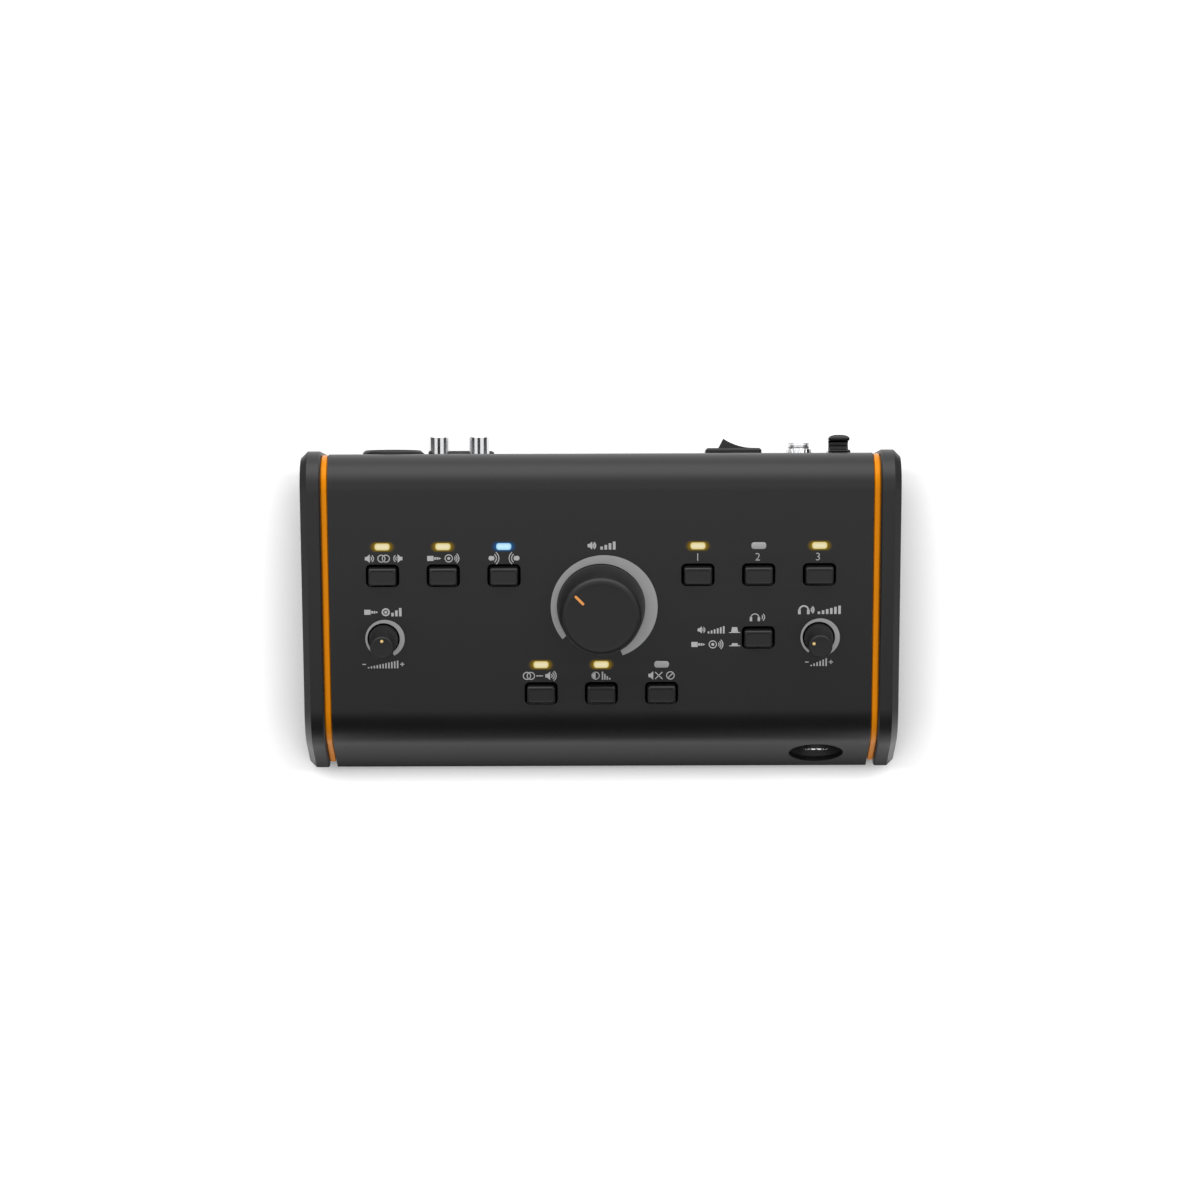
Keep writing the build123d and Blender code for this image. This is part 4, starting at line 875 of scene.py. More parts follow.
cap_rings = [(STEM_END, *STEM), (FLANGE_FOOT, *STEM)]
cap_rings += [(rise, *FLANGE_SIZE, FLANGE_CORNER) for rise in (FLANGE_FOOT, FLANGE_TOP)]
cap_rings += [(rise, *drawn_in(CAP_SIZE, inset), max(CAP_CORNER - CORNER_LOSS * inset, CORNER_LEAST))
              for rise, inset in CAP_STEPS]
felt_rings = [(FLANGE_TOP + rise, *drawn_in(FLANGE_SIZE, inset), FLANGE_CORNER) for rise, inset in FELT_STEPS]
for name, (x, along) in BUTTON_AT.items():
    cap = loft([panel_ring(x, along, *ring) for ring in cap_rings])
    settle(cap, name + "_cap", finishes["button_black"], name, "button_black", (name,))
    # the felt's black without gloss is painted shade for the gap round the cap
    felt = loft([panel_ring(x, along, *ring) for ring in felt_rings])
    settle(felt, name + "_felt", finishes["dust_felt"], name, "button_black")
print(len(BUTTONS), "caps, each", CAP_SIZE, "mm")

# %% [markdown]
# ## Indicator windows
# A window is the end of a clear rod that carries the light of a chip on the board up to the
# sheet. Its top is a shallow dome, a third of a millimetre proud. The rings of the dome carry
# the rim value that the lamp finish reads.

# %% Windows
LENS_FOOT = -11.0               # just over the chip on the board
LENS_CREASE = 60.0
# height above the panel, how far the ring lies inside the window's side, and its rim value
LENS_STEPS = [
    (LENS_FOOT, 0.0, 1.0), (0.02, 0.0, 1.0), (0.12, 0.05, 0.94), (0.20, 0.16, 0.82), (0.25, 0.36, 0.66),
    (0.285, 0.66, 0.45), (0.31, 1.0, 0.22), (0.32, 1.4, 0.0),
]
LENS_RIMS = [rim for _, _, rim in LENS_STEPS]


def windows(slot):
    """All windows of one colour, as one piece."""
    lenses = bmesh.new()
    for x, along in WINDOWS[slot]:
        rings = [panel_ring(x, along, rise, *drawn_in(LENS_SIZE, inset), max(LENS_CORNER - 0.5 * inset, 0.1))
                 for rise, inset, _ in LENS_STEPS]
        loft(rings, LENS_RIMS, lenses)
    settle(lenses, slot + "_windows", finishes[slot], "case", slot, (WINDOW_NODES[slot],), LENS_CREASE)


print("a window stands", LENS_STEPS[-1][0], "mm proud")

# %% [markdown]
# The light on the paint is an open film that starts at the window's edge and grows outwards in
# rings, more to the sides than up and down. Its rim value runs from 0 at the window to 1 at its
# outer edge, where the finish has faded away.

# %% Glow films
GLOW_RISE, GLOW_REACH, GLOW_RINGS = 0.03, (2.3, 0.8), 10


def film(slot):
    """The films round all lit windows of one colour, as one piece."""
    films = bmesh.new()
    layer = films.verts.layers.float.new("rim")
    for x, along in WINDOWS[slot]:
        rows = []
        for step in range(GLOW_RINGS + 1):
            part = step / GLOW_RINGS
            size = [side + 2 * (LENS_GAP + reach * part) for side, reach in zip(LENS_SIZE, GLOW_REACH)]
            ring = panel_ring(x, along, GLOW_RISE, *size, LENS_CORNER + 2 * GLOW_REACH[1] * part)
            rows.append([films.verts.new(point) for point in ring])
            for vertex in rows[-1]:
                vertex[layer] = part
        skin(films, rows)
    settle(films, slot + "_glow", glow_films[slot], "case", slot)


for slot in WINDOWS:
    windows(slot)
    if slot in glow_films:
        film(slot)
print(sum(len(places) for places in WINDOWS.values()), "windows,", len(glow_films), "of the colours lit")

# %% [markdown]
# ## Knobs
# A knob is turned on a lathe in the real world too, at least its mould is, so its profile is
# spun round its axis. The profile runs from the shaft's hole, round the hollow underside, up the
# tapered side, over a small round edge and in to the middle of a faintly dished top.

# %% The knobs' profiles
def edge_arc(radius, height, round_edge, taper, steps=6):
    """Points over the rounded top edge of a knob whose side leans in by the taper."""
    points = []
    for step in range(steps + 1):
        turn = (pi / 2 - taper) * step / steps + taper
        points.append((
            radius - round_edge + round_edge * cos(turn),
            height - round_edge + round_edge * sin(turn),
        ))
    return points


KNOB_TOP = {"main": 16.0, "aux": 13.8, "phones": 13.8}
MAIN_PROFILE = [
    (0.0, 13.0), (3.02, 13.0), (3.02, 6.0), (11.9, 6.0), (12.0, 5.9), (12.0, 0.9), (12.1, 0.8),
    (16.6, 0.8), (16.83, 0.9), (16.9, 1.12), (16.9, 2.7), (16.86, 2.95),
]
MAIN_PROFILE += edge_arc(15.4, KNOB_TOP["main"], 1.8, 0.1)
MAIN_PROFILE += [(13.2, 15.985), (12.6, 15.96), (12.0, 15.93), (8.0, 15.88), (4.0, 15.86), (0.0, 15.86)]
SMALL_PROFILE = [
    (0.0, 10.8), (3.02, 10.8), (3.02, -1.4), (5.3, -1.4), (5.52, -1.32), (5.6, -1.1), (5.6, 0.9), (5.57, 1.1),
]
SMALL_PROFILE += edge_arc(4.6, KNOB_TOP["aux"], 0.6, 0.08)
SMALL_PROFILE += [(3.8, 13.79), (3.4, 13.77), (2.0, 13.74), (0.0, 13.73)]

for name, profile, at, steps in [("main_knob", MAIN_PROFILE, (0, 0), 160)] + [
    (name + "_knob", SMALL_PROFILE, at, 96) for name, at in KNOB_AT.items()
]:
    turned = lathe(profile, on_panel(*at), UP, steps=steps)
    settle(turned, name + "_turned", finishes["knob_black"], name, "knob_black", (name,))
print("three knobs; the main one is", 2 * max(radius for radius, _ in MAIN_PROFILE), "mm across")

# %% [markdown]
# ## The knobs' marks
# The main knob has a short bar of orange plastic let into its top, and the small ones a dot.
# Each lies a hair above the black round it, with its rim rounded over, so that it is felt as
# well as seen.

# %% Pointer and dots
POINTER_SIZE, POINTER_DEPTH, POINTER_PROUD = (1.0, 4.9), 0.4, 0.08
POINTER_LEAN = radians(44)
DOT_SIZE, DOT_PROUD = (1.2, 1.2), 0.06
# how far below the inlay's top, and how far inside its side
INLAY_STEPS = [(POINTER_DEPTH, 0.0), (0.04, 0.0), (0.012, 0.03), (0.0, 0.09)]


def inlay(name, body, knob, x, along, size, turn, proud, finish="pointer_orange"):
    """A stadium-shaped inlay in a knob's top."""
    rings = []
    for drop, inset in INLAY_STEPS:
        rise = KNOB_TOP[knob] + proud - drop
        outline = pad(*drawn_in(size, inset), size[0] / 2, 8)
        ring = []
        for point in outline:
            px = point.x * cos(turn) - point.y * sin(turn)
            py = point.x * sin(turn) + point.y * cos(turn)
            ring.append(on_panel(x + px, along + py, rise))
        rings.append(ring)
    settle(loft(rings), name + "_inlay", finishes[finish], body, "pointer_orange", (name,))


pointer_x, pointer_along = panel_centre("main_pointer")
inlay("main_pointer", "main_knob", "main", pointer_x, pointer_along, POINTER_SIZE, POINTER_LEAN, POINTER_PROUD)
for name in KNOB_AT:
    x, along = panel_centre(name + "_dot")
    # the dots take the paler orange, which is painted light
    inlay(name + "_dot", name + "_knob", name, x, along, DOT_SIZE, 0.0, DOT_PROUD, "pale_orange")
print("the main pointer is", round(pointer_x, 2), "across and", round(pointer_along, 2), "up from the axis")

# %% [markdown]
# ## Printed marks
# The marks on the panel are ink, a few hundredths of a millimetre thick. Each one is drawn from
# ribbons, discs and solid outlines in the panel's own millimetres. A ribbon follows a line with
# the same width all along, as a pen would.

# %% Tools that print
INK_RISE = 0.05


class Print:
    """Ink shapes that lie on one flat, in that flat's millimetres."""

    def __init__(self, place):
        self.bm = bmesh.new()
        self.place = place

    def strip(self, left, right, closed=False):
        """Ink between two lines that have the same number of points."""
        rows = []
        for a, b in zip(left, right):
            rows.append([self.bm.verts.new(self.place(*point, rise))
                         for point, rise in ((a, 0.0), (a, INK_RISE), (b, INK_RISE), (b, 0.0))])
        skin(self.bm, rows + rows[:1] if closed else rows)
        if not closed:
            self.bm.faces.new(rows[0][::-1])
            self.bm.faces.new(rows[-1])
        return self

    def solid(self, outline):
        """Ink inside a closed outline."""
        low = [self.bm.verts.new(self.place(*point, 0.0)) for point in outline]
        high = [self.bm.verts.new(self.place(*point, INK_RISE)) for point in outline]
        self.bm.faces.new(low[::-1])
        self.bm.faces.new(high)
        skin(self.bm, (low, high))
        return self

    def line(self, points, width):
        """A ribbon along a line of points, with mitred corners."""
        points = [Vector(point) for point in points]
        left, right = [], []
        for i, point in enumerate(points):
            ways = []
            if i:
                ways.append((point - points[i - 1]).normalized())
            if i < len(points) - 1:
                ways.append((points[i + 1] - point).normalized())
            way = sum(ways, Vector((0, 0))).normalized()
            side = Vector((-way.y, way.x)) * (width / 2 / max(way.dot(ways[0]), 0.3))
            left.append(point + side)
            right.append(point - side)
        return self.strip(left, right)

    def arc(self, x, y, radius, width, start=0.0, end=360.0):
        """A ring, or a part of one, with its angles in degrees from the right, turning left."""
        whole = abs(end - start) > 359
        steps = max(8, int(abs(end - start) / 7.5))
        turns = [radians(start + (end - start) * i / steps) for i in range(steps if whole else steps + 1)]
        lines = [[Vector((x + r * cos(t), y + r * sin(t))) for t in turns]
                 for r in (radius + width / 2, radius - width / 2)]
        return self.strip(*lines, closed=whole)

    def disc(self, x, y, radius):
        return self.solid([Vector((x, y)) + point for point in round_outline(radius, 24)])

    def box(self, x0, y0, x1, y1):
        return self.solid(rectangle(x0, y0, x1, y1))

    def finish(self, name, finish, body="case", slot="black_shell"):
        return settle(self.bm, name, finish, body, slot)


def panel_print(x, along):
    """Start a mark whose own middle is at that place on the panel."""
    return Print(lambda px, py, rise: on_panel(x + px, along + py, rise))


print("ink lies", INK_RISE, "mm thick")

# %% [markdown]
# The crescents round the knobs swell from nothing at the left to their full width at the right,
# like a wedge wrapped round: louder that way. Each is the space between two circles whose
# middles aren't quite the same.

# %% Crescents
def crescent(name, at, inner, outer, shift, start, end, steps):
    """Ink between a circle about the knob and a larger one whose middle is shifted. Angles are
    in degrees clockwise from straight up."""
    mark = panel_print(*at)
    inside, outside = [], []
    for step in range(steps + 1):
        turn = radians(start + (end - start) * step / steps)
        way = Vector((sin(turn), cos(turn)))
        along_shift = way.dot(shift)
        reach = along_shift + (along_shift ** 2 + outer ** 2 - shift.dot(shift)) ** 0.5
        inside.append(way * inner)
        outside.append(way * max(reach, inner + 0.04))
    mark.strip(outside, inside)
    return mark.finish(name, arc_ink)


crescent("crescent_main", (0, 0), 17.0, 20.55, Vector((1.2, -0.2)), -131, 157, 150)
for name, at in KNOB_AT.items():
    crescent("crescent_" + name, at, 6.25, 7.57, Vector((0.54, 0.0)), -147, 149, 90)
print("three crescents")

# %% [markdown]
# The real panel says in words what each control does. Here plain drawn signs do that job, of
# the same length, height and weight as a word. A sign sits where it can be read: over its
# button or beside it.

# %% Shapes that the signs are put together from
THIN, BOLD = 0.36, 0.62


def speaker(mark, x, half, way=1):
    """A loudspeaker from its side, open to the right, or to the left where way is -1."""
    outline = [(0, -0.4), (0.42, -0.4), (1.1, -1.0), (1.1, 1.0), (0.42, 0.4), (0, 0.4)]
    return mark.solid([Vector((x + way * half * px, half * py)) for px, py in outline])


def waves(mark, x, half, width, count, way=1):
    """Arcs of sound that leave a place."""
    for i in range(count):
        middle = 0 if way > 0 else 180
        mark.arc(x, 0, half * (0.5 + 0.45 * i), width, middle - 52, middle + 52)
    return mark


def ring(mark, x, half, width):
    return mark.arc(x, 0, half - width / 2, width)


def plug(mark, x, half, width):
    """A jack plug that points to the right: its sleeve, then its pin with two rings."""
    mark.box(x, -0.62 * half, x + 1.5 * half, 0.62 * half)
    for start, end in ((1.62, 2.1), (2.22, 2.6)):
        mark.box(x + start * half, -0.3 * half, x + end * half, 0.3 * half)
    tip = ((2.72, -0.3), (3.3, 0.0), (2.72, 0.3))
    return mark.solid([Vector((x + px * half, py * half)) for px, py in tip])


print("sign shapes: speaker, waves, ring, plug")

# %% [markdown]
# Bars stand for a level and grow with it. Minus and plus mark its two ends, and the headphones
# are an arc over two cups. Each sign is kept by its name, so that all get their ink in one loop.

# %% More shapes, and the signs' own list
def bars(mark, x0, x1, fill, heights, foot):
    """Bars side by side from x0 to x1, each filling that part of its place."""
    pitch = (x1 - x0) / len(heights)
    for i, height in enumerate(heights):
        mark.box(x0 + pitch * i, foot, x0 + pitch * (i + fill), foot + height)
    return mark


def rising(low, high, count):
    return [low + (high - low) * i / (count - 1) for i in range(count)]


def minus(mark, x, half, width):
    return mark.box(x - half, -width / 2, x + half, width / 2)


def plus(mark, x, half, width):
    minus(mark, x, half, width)
    return mark.box(x - width / 2, -half, x + width / 2, half)


def headphones(mark, x, half, width):
    """Headphones from the front: the band over the head and the two cups."""
    mark.arc(x, -0.1 * half, 0.98 * half, width, 0, 180)
    for side in (-1, 1):
        mark.box(x + side * half * 0.98 - 0.3 * half, -half, x + side * half * 0.98 + 0.3 * half, 0.05 * half)
    return mark


marks = {}


def sign(name, x, along):
    marks[name] = panel_print(x, along)
    return marks[name]


print("sign shapes: bars, minus, plus, headphones")

# %% [markdown]
# Stereo is two loudspeakers and two linked rings, and a line input a plug and its socket. Two
# dots that call to each other stand for pairing. The main level has a loudspeaker and bars, the
# headphones theirs, and each level's range runs from minus to plus.

# %% Signs over the left buttons, the main knob and the small knobs
TOP, HALF_HIGH = 19.31, 1.7

stereo = sign("stereo", -83.26, TOP)
waves(speaker(stereo, -7.2, HALF_HIGH), -5.5, HALF_HIGH, THIN, 2)
waves(speaker(stereo, 7.2, HALF_HIGH, -1), 5.5, HALF_HIGH, THIN, 2, -1)
ring(ring(stereo, -0.85, 1.55, THIN), 0.85, 1.55, THIN)


def line_input(mark, left, half, width):
    """A plug, its socket and the sound that comes of it."""
    plug(mark, left, half, width)
    ring(mark, left + 5.1 * half, 0.98 * half, width).disc(left + 5.1 * half, 0, 0.36 * half)
    return mark


waves(line_input(sign("line", -60.08, TOP), -6.5, 1.62, THIN), 3.4, 1.62, THIN, 3)
pair = sign("pair", -37.12, TOP)
waves(pair.disc(-5.0, 0, 0.95), -4.9, 2.1, THIN, 3)
waves(pair.disc(5.0, 0, 0.95), 4.9, 2.1, THIN, 3, -1)
main_level = waves(speaker(sign("main_level", 0.37, 24.16), -5.45, 1.6), -4.0, 1.65, BOLD, 2)
bars(main_level, -0.6, 5.8, 0.66, rising(1.2, 3.15, 4), -1.58)
line_level = line_input(sign("line_level", -83.81, -1.98), -7.25, 1.62, BOLD)
bars(line_level, 3.1, 7.6, 0.66, rising(1.4, 3.3, 3), -1.65)
phones = headphones(sign("phones", 84.07, -1.59), -6.1, 1.75, BOLD)
bars(waves(phones, -3.9, 1.7, BOLD, 2), -0.8, 8.7, 0.62, rising(1.0, 3.3, 6), -1.7)
for name, at, half_long, count in (("volume", (-84.06, -22.8), 8.1, 11), ("level", (83.98, -22.47), 5.4, 6)):
    scale = bars(sign(name, *at), 2.1 - half_long, half_long - 1.75, 0.5, rising(0.5, 3.1, count), -1.6)
    plus(minus(scale, 0.7 - half_long, 0.7, THIN), half_long - 0.8, 0.8, THIN)
print(len(marks), "signs so far")

# %% [markdown]
# Round the latching button are headphones, and the two things that they can listen to. Under the
# main knob, mono joins two rings into one loudspeaker, dim is a half-lit disc with falling
# bars, and mute a loudspeaker that is crossed out.

# %% Signs round the latching button and under the main knob
BOTTOM = -27.64

waves(headphones(sign("listen", 60.37, -4.5), -1.2, 1.55, THIN), 0.9, 1.7, THIN, 2)
to_main = waves(speaker(sign("to_main", 42.34, -9.46), -5.2, 1.45), -3.8, 1.45, THIN, 2)
bars(to_main, -1.3, 5.7, 0.55, rising(0.8, 2.9, 6), -1.45)
waves(line_input(sign("to_line", 41.34, -15.27), -6.6, 1.62, THIN), 3.3, 1.62, THIN, 3)
mono = sign("mono", -23.5, BOTTOM)
ring(ring(mono, -5.2, 1.6, THIN), -3.7, 1.6, THIN).box(-1.6, -THIN / 2, 1.0, THIN / 2)
waves(speaker(mono, 1.9, HALF_HIGH), 3.7, HALF_HIGH, THIN, 3)
DISC_X, DISC_RADIUS = -2.1, 1.5
half_disc = [Vector((DISC_RADIUS * cos(radians(turn)) + DISC_X, DISC_RADIUS * sin(radians(turn))))
             for turn in range(90, 271, 12)]
dim = ring(sign("dim", -0.11, BOTTOM), DISC_X, 1.6, THIN).solid(half_disc)
bars(dim, 0.3, 4.0, 0.6, (3.2, 2.3, 1.4, 0.7), -1.6)
mute = speaker(sign("mute", 23.38, BOTTOM), -5.2, HALF_HIGH)
mute.line([(-2.6, -1.4), (0.2, 1.4)], THIN).line([(-2.6, 1.4), (0.2, -1.4)], THIN)
ring(mute, 3.3, 1.65, THIN).line([(2.25, -1.05), (4.35, 1.05)], THIN)
for name, mark in marks.items():
    mark.finish("sign_" + name, grey_ink)
print(len(marks), "signs")

# %% [markdown]
# Beside the latching button two small drawings show it out and in: a cap that stands high over
# the panel's line, and one that hardly does.

# %% Drawings for out and in
for name, at, height in (("sign_out", (51.39, -9.56), 2.3), ("sign_in", (51.46, -15.43), 1.2)):
    mark = panel_print(*at)
    foot, top = -height / 2, -height / 2 + height
    mark.box(-2.13, foot, 2.13, foot + 0.34)
    cap_side = ((-1.35, foot + 0.3), (1.35, foot + 0.3), (1.0, top), (-1.0, top))
    mark.solid([Vector(corner) for corner in cap_side]).finish(name, grey_ink)
print("drawings for out and in")

# %% [markdown]
# The three loudspeaker buttons are numbered. Digits come from a text object, which is turned
# into a mesh, scaled to the height wanted and laid on the panel. A negative offset thins the
# strokes.

# %% Digits
DIGIT_HIGH, DIGIT_ALONG, DIGIT_OFFSET = 2.96, 19.53, -0.012


def digit(name, text, height, place):
    """A printed number, laid where place() puts its x, y and rise."""
    letters = bpy.data.curves.new(name, "FONT")
    letters.body = text
    letters.align_x = "CENTER"
    letters.extrude = 0.01
    letters.offset = DIGIT_OFFSET
    holder = bpy.data.objects.new(name, letters)
    flat = bpy.data.meshes.new_from_object(holder)
    low = min(v.co.y for v in flat.vertices)
    scale = height / (max(v.co.y for v in flat.vertices) - low)
    bm = bmesh.new()
    bm.from_mesh(flat)
    for vertex in bm.verts:
        rise = INK_RISE if vertex.co.z > 0 else 0.0
        vertex.co = place(vertex.co.x * scale, (vertex.co.y - low) * scale - height / 2, rise)
    for leftover, store in ((holder, bpy.data.objects), (flat, bpy.data.meshes), (letters, bpy.data.curves)):
        store.remove(leftover)
    return settle(bm, name, grey_ink, "case", "black_shell")


for number, x in (("1", 37.09), ("2", 60.1), ("3", 83.19)):
    digit("digit_" + number, number, DIGIT_HIGH,
          lambda px, py, rise, x=x: on_panel(x + px, DIGIT_ALONG + py, rise))
print("digits 1 to 3")

# %% [markdown]
# ## Sockets and switch on the rear panel
# From above only the tips of these parts show over the rear edge, but there they catch all the
# light. The two phono barrels are turned brass with bright plating: a tube with a rounded mouth,
# round a coloured insulator that tells the two channels apart.

# %% Phono barrels
def rear_at(x, z, out=0.0):
    """A place on the rear panel, in millimetres, out being how far it stands off the panel."""
    return Vector((x, REAR_Y + out, z)) * MM


def rear_ring(x, z, out, width, height, corner):
    """A rounded rectangle that lies flat over the rear panel."""
    return [rear_at(x + point.x, z + point.y, out) for point in pad(width, height, corner)]


BACK = Vector((0, 1, 0))
PHONO_X, PHONO_Z, PHONO_PROUD, PHONO_FOOT = (-62.6, -47.1), 38.0, 7.0, 0.05
PHONO_PROFILE = [
    (3.45, -0.2), (3.45, 6.85), (3.52, 6.96), (3.66, PHONO_PROUD), (3.9, PHONO_PROUD), (4.06, 6.94),
    (4.13, 6.8), (4.15, 6.6), (4.15, PHONO_FOOT), (3.9, PHONO_FOOT - 0.2),
]
INSULATOR_PROFILE = [
    (1.75, 5.0), (1.75, 6.1), (1.85, 6.25), (2.3, 6.3), (3.0, 6.3), (3.3, 6.2), (3.42, 6.0),
    (3.42, 2.0), (1.75, 2.0),
]
INSULATORS = {"insulator_white": grey(225), "insulator_red": shade(190, 24, 24)}

barrels = bmesh.new()
for x in PHONO_X:
    lathe(PHONO_PROFILE, rear_at(x, PHONO_Z), BACK, barrels)
settle(barrels, "phono_barrels", finishes["plated_metal"], "case", "plated_metal", ("rca_barrels",))
for x, (name, colour) in zip(PHONO_X, INSULATORS.items()):
    finishes[name] = grained(name, colour, 0.4, 0.25, 0.004)
    insulator = lathe(INSULATOR_PROFILE, rear_at(x, PHONO_Z), BACK, steps=64)
    settle(insulator, "phono_" + name, finishes[name], "case", "socket_black")
print("two phono barrels, tips", PHONO_PROUD, "mm off the panel")

# %% [markdown]
# One moulded block carries both barrels. Its body lies inside the case and its plate outside, and
# under the barrels the plate swells into a soft pad. It is one loft from the inside out.

# %% Phono block
BLOCK_X = -54.0
BLOCK_SIZE, BLOCK_DEEP, BLOCK_CORNER = (22.4, 11.0), 12.0, 0.3
PLATE_SIZE, PLATE_THICK, PLATE_CORNER = (25.6, 13.6), 0.3, 1.5
PAD_SIZE, PAD_DROP = (25.6, 9.0), 4.6
# how far off the panel, and how far inside the pad's side
PAD_STEPS = [(0.32, 0.02), (0.7, 0.04), (1.2, 0.2), (1.55, 0.6), (1.72, 1.1), (1.8, 1.8)]

rings = [rear_ring(BLOCK_X, PHONO_Z, out, *BLOCK_SIZE, BLOCK_CORNER) for out in (-BLOCK_DEEP, 0.0)]
rings += [rear_ring(BLOCK_X, PHONO_Z, out, *PLATE_SIZE, PLATE_CORNER) for out in (0.0, PLATE_THICK)]
rings += [rear_ring(BLOCK_X, PHONO_Z - PAD_DROP, out, *drawn_in(PAD_SIZE, inset), PLATE_CORNER)
          for out, inset in PAD_STEPS]
settle(loft(rings), "phono_block", finishes["socket_black"], "case", "socket_black", ("rca_block",))
print("the phono block reaches", BLOCK_DEEP, "mm into the case")

# %% [markdown]
# The supply inlet's bush is a bright metal collar with a fine groove near its mouth, and a round
# nut with a knurled rim holds it to the panel.

# %% Supply inlet
DC_PLACE = (76.9, 36.0)
COLLAR_PROFILE = [
    (3.2, 0.05), (4.05, 0.05), (4.15, 0.2), (4.15, 2.3), (4.1, 2.36), (3.98, 2.4), (3.98, 2.6), (4.1, 2.64),
    (4.15, 2.7), (4.15, 3.5), (4.08, 3.9), (3.9, 4.15), (3.6, 4.26), (3.2, 4.27), (3.02, 4.2), (2.95, 4.0),
    (2.95, 1.0),
]
NUT_RADIUS, NUT_HIGH = 5.0, 2.0
NUT_PROFILE = [
    (4.2, 0.0), (NUT_RADIUS, 0.0), (NUT_RADIUS, 0.15), (NUT_RADIUS, 1.75), (4.85, 1.95), (4.6, NUT_HIGH),
    (4.2, NUT_HIGH), (4.2, 0.0),
]
NOTCHES, NOTCH_DEPTH, NOTCH_MARGIN = 24, 0.13, 0.1


def knurl(radius, height, turn):
    """Fine grooves round a nut's rim, between its two faces."""
    if radius < NUT_RADIUS - NOTCH_MARGIN or not NOTCH_MARGIN < height < NUT_HIGH - NOTCH_MARGIN:
        return radius
    return radius - NOTCH_DEPTH * (0.5 + 0.5 * cos(NOTCHES * turn))


collar = lathe(COLLAR_PROFILE, rear_at(*DC_PLACE), BACK)
settle(collar, "supply_collar", finishes["satin_plating"], "case", "plated_metal")
nut = lathe(NUT_PROFILE, rear_at(*DC_PLACE), BACK, steps=192, wave=knurl)
settle(nut, "supply_nut", finishes["plated_metal"], "case", "plated_metal", ("dc_nut",))
print("the collar stands", max(height for _, height in COLLAR_PROFILE), "mm off the panel")

# %% [markdown]
# The hook that takes the cord's pull is a glossy moulding: a base plate with a screw, a neck
# with a slight waist, and a broad domed head. A loft of rounded rectangles goes all the way.

# %% Cord hook
hook_low, hook_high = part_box("cord_hook")
HOOK_X = (hook_low.x + hook_high.x) / 2 / MM
HOOK_Z, HOOK_CREASE = 36.0, 38.0
# off the panel, width, height, corner, and how far its middle lies above the hook's
HOOK_STEPS = [
    (0.0, 8.6, 19.0, 1.2, 0.0), (1.15, 8.6, 19.0, 1.2, 0.0), (1.32, 8.3, 18.7, 1.1, 0.0),
    (1.4, 7.95, 18.35, 1.0, 0.0), (1.41, 7.9, 3.6, 0.7, 0.0), (1.7, 7.8, 3.2, 0.7, 0.0),
    (2.6, 7.65, 3.0, 0.7, 0.0), (3.6, 7.6, 3.0, 0.7, 0.0), (4.5, 7.65, 3.1, 0.7, 0.0),
    (4.9, 7.75, 3.6, 0.7, 0.2), (5.05, 7.9, 9.4, 1.3, 3.5), (5.3, 8.15, 9.8, 1.4, 3.5),
    (5.6, 8.3, 9.95, 1.4, 3.5), (5.95, 8.2, 9.95, 1.4, 3.5), (6.3, 7.8, 9.8, 1.35, 3.5),
    (6.65, 7.05, 9.5, 1.2, 3.5), (6.9, 6.1, 9.1, 1.1, 3.5), (7.08, 4.9, 8.7, 0.9, 3.5),
    (7.2, 3.5, 8.2, 0.7, 3.5), (7.25, 1.6, 7.6, 0.5, 3.5),
]
hook = loft([rear_ring(HOOK_X, HOOK_Z + lift, *step) for *step, lift in HOOK_STEPS])
settle(hook, "hook_moulding", finishes["hook_black"], "case", "hook_black", ("cord_hook",), HOOK_CREASE)
print("the hook stands", HOOK_STEPS[-1][0], "mm off the panel")

# %% [markdown]
# ## The headphone socket's mouth
# Deep in the round cup sits the socket's nose: black plastic with a castellated ring of bright
# metal at its mouth. From above only the ring's few teeth show, as small glints.

# %% Nose and ring
FORWARD = Vector((0, -1, 0))
NOSE_FOOT_Y, NOSE_MOUTH_Y, NOSE_RADIUS, JACK_BORE = -52.0, -58.0, 4.7, 3.25
NOSE_SIDE, RING_BORE = NOSE_RADIUS - 0.1, JACK_BORE + 0.05
RING_LENGTH, TEETH, GAP_PART, TOOTH_STEPS = 0.55, 12, 0.34, 8
nose_at, ring_at = [Vector((PHONES_AT.x, y, PHONES_AT.z)) * MM for y in (NOSE_FOOT_Y, NOSE_MOUTH_Y + RING_LENGTH)]
nose_long = NOSE_FOOT_Y - NOSE_MOUTH_Y - RING_LENGTH
NOSE_PROFILE = [
    (JACK_BORE, 0.0), (JACK_BORE, nose_long), (4.2, nose_long), (4.55, nose_long - 0.1),
    (NOSE_SIDE, nose_long - 0.4), (NOSE_SIDE, 0.0), (JACK_BORE, 0.0),
]
nose = lathe(NOSE_PROFILE, nose_at, FORWARD, steps=64)
settle(nose, "phones_nose", finishes["socket_black"], "case", "socket_black", ("phones_bush",))

teeth = bmesh.new()
section = [(RING_BORE, 0.0), (NOSE_RADIUS, 0.0), (NOSE_RADIUS, RING_LENGTH), (RING_BORE, RING_LENGTH)]
for tooth in range(TEETH):
    rings = []
    for step in range(TOOTH_STEPS + 1):
        turn = 2 * pi * (tooth + 0.5 + (1 - GAP_PART) * (step / TOOTH_STEPS - 0.5)) / TEETH
        way = Vector((cos(turn), 0, sin(turn)))
        rings.append([ring_at + (way * radius + FORWARD * out) * MM for radius, out in section])
    loft(rings, None, teeth)
settle(teeth, "phones_ring", finishes["plated_metal"], "case", "plated_metal")
print(TEETH, "teeth round the headphone socket")

# %% [markdown]
# ## Marks on the rear panel
# The rear panel is read from behind, so its marks run the other way across. The output jacks are
# numbered in pairs, the inputs have an arrow, the supply its plus and minus, and the rocker
# carries a bar and a ring for on and off. Those two ride on the rocker, on its hollow face.

# %% Rear marks
def rear_print(x, z):
    """Start a mark on the rear panel, about that place."""
    return Print(lambda px, py, rise: rear_at(x - px, z + py, rise))


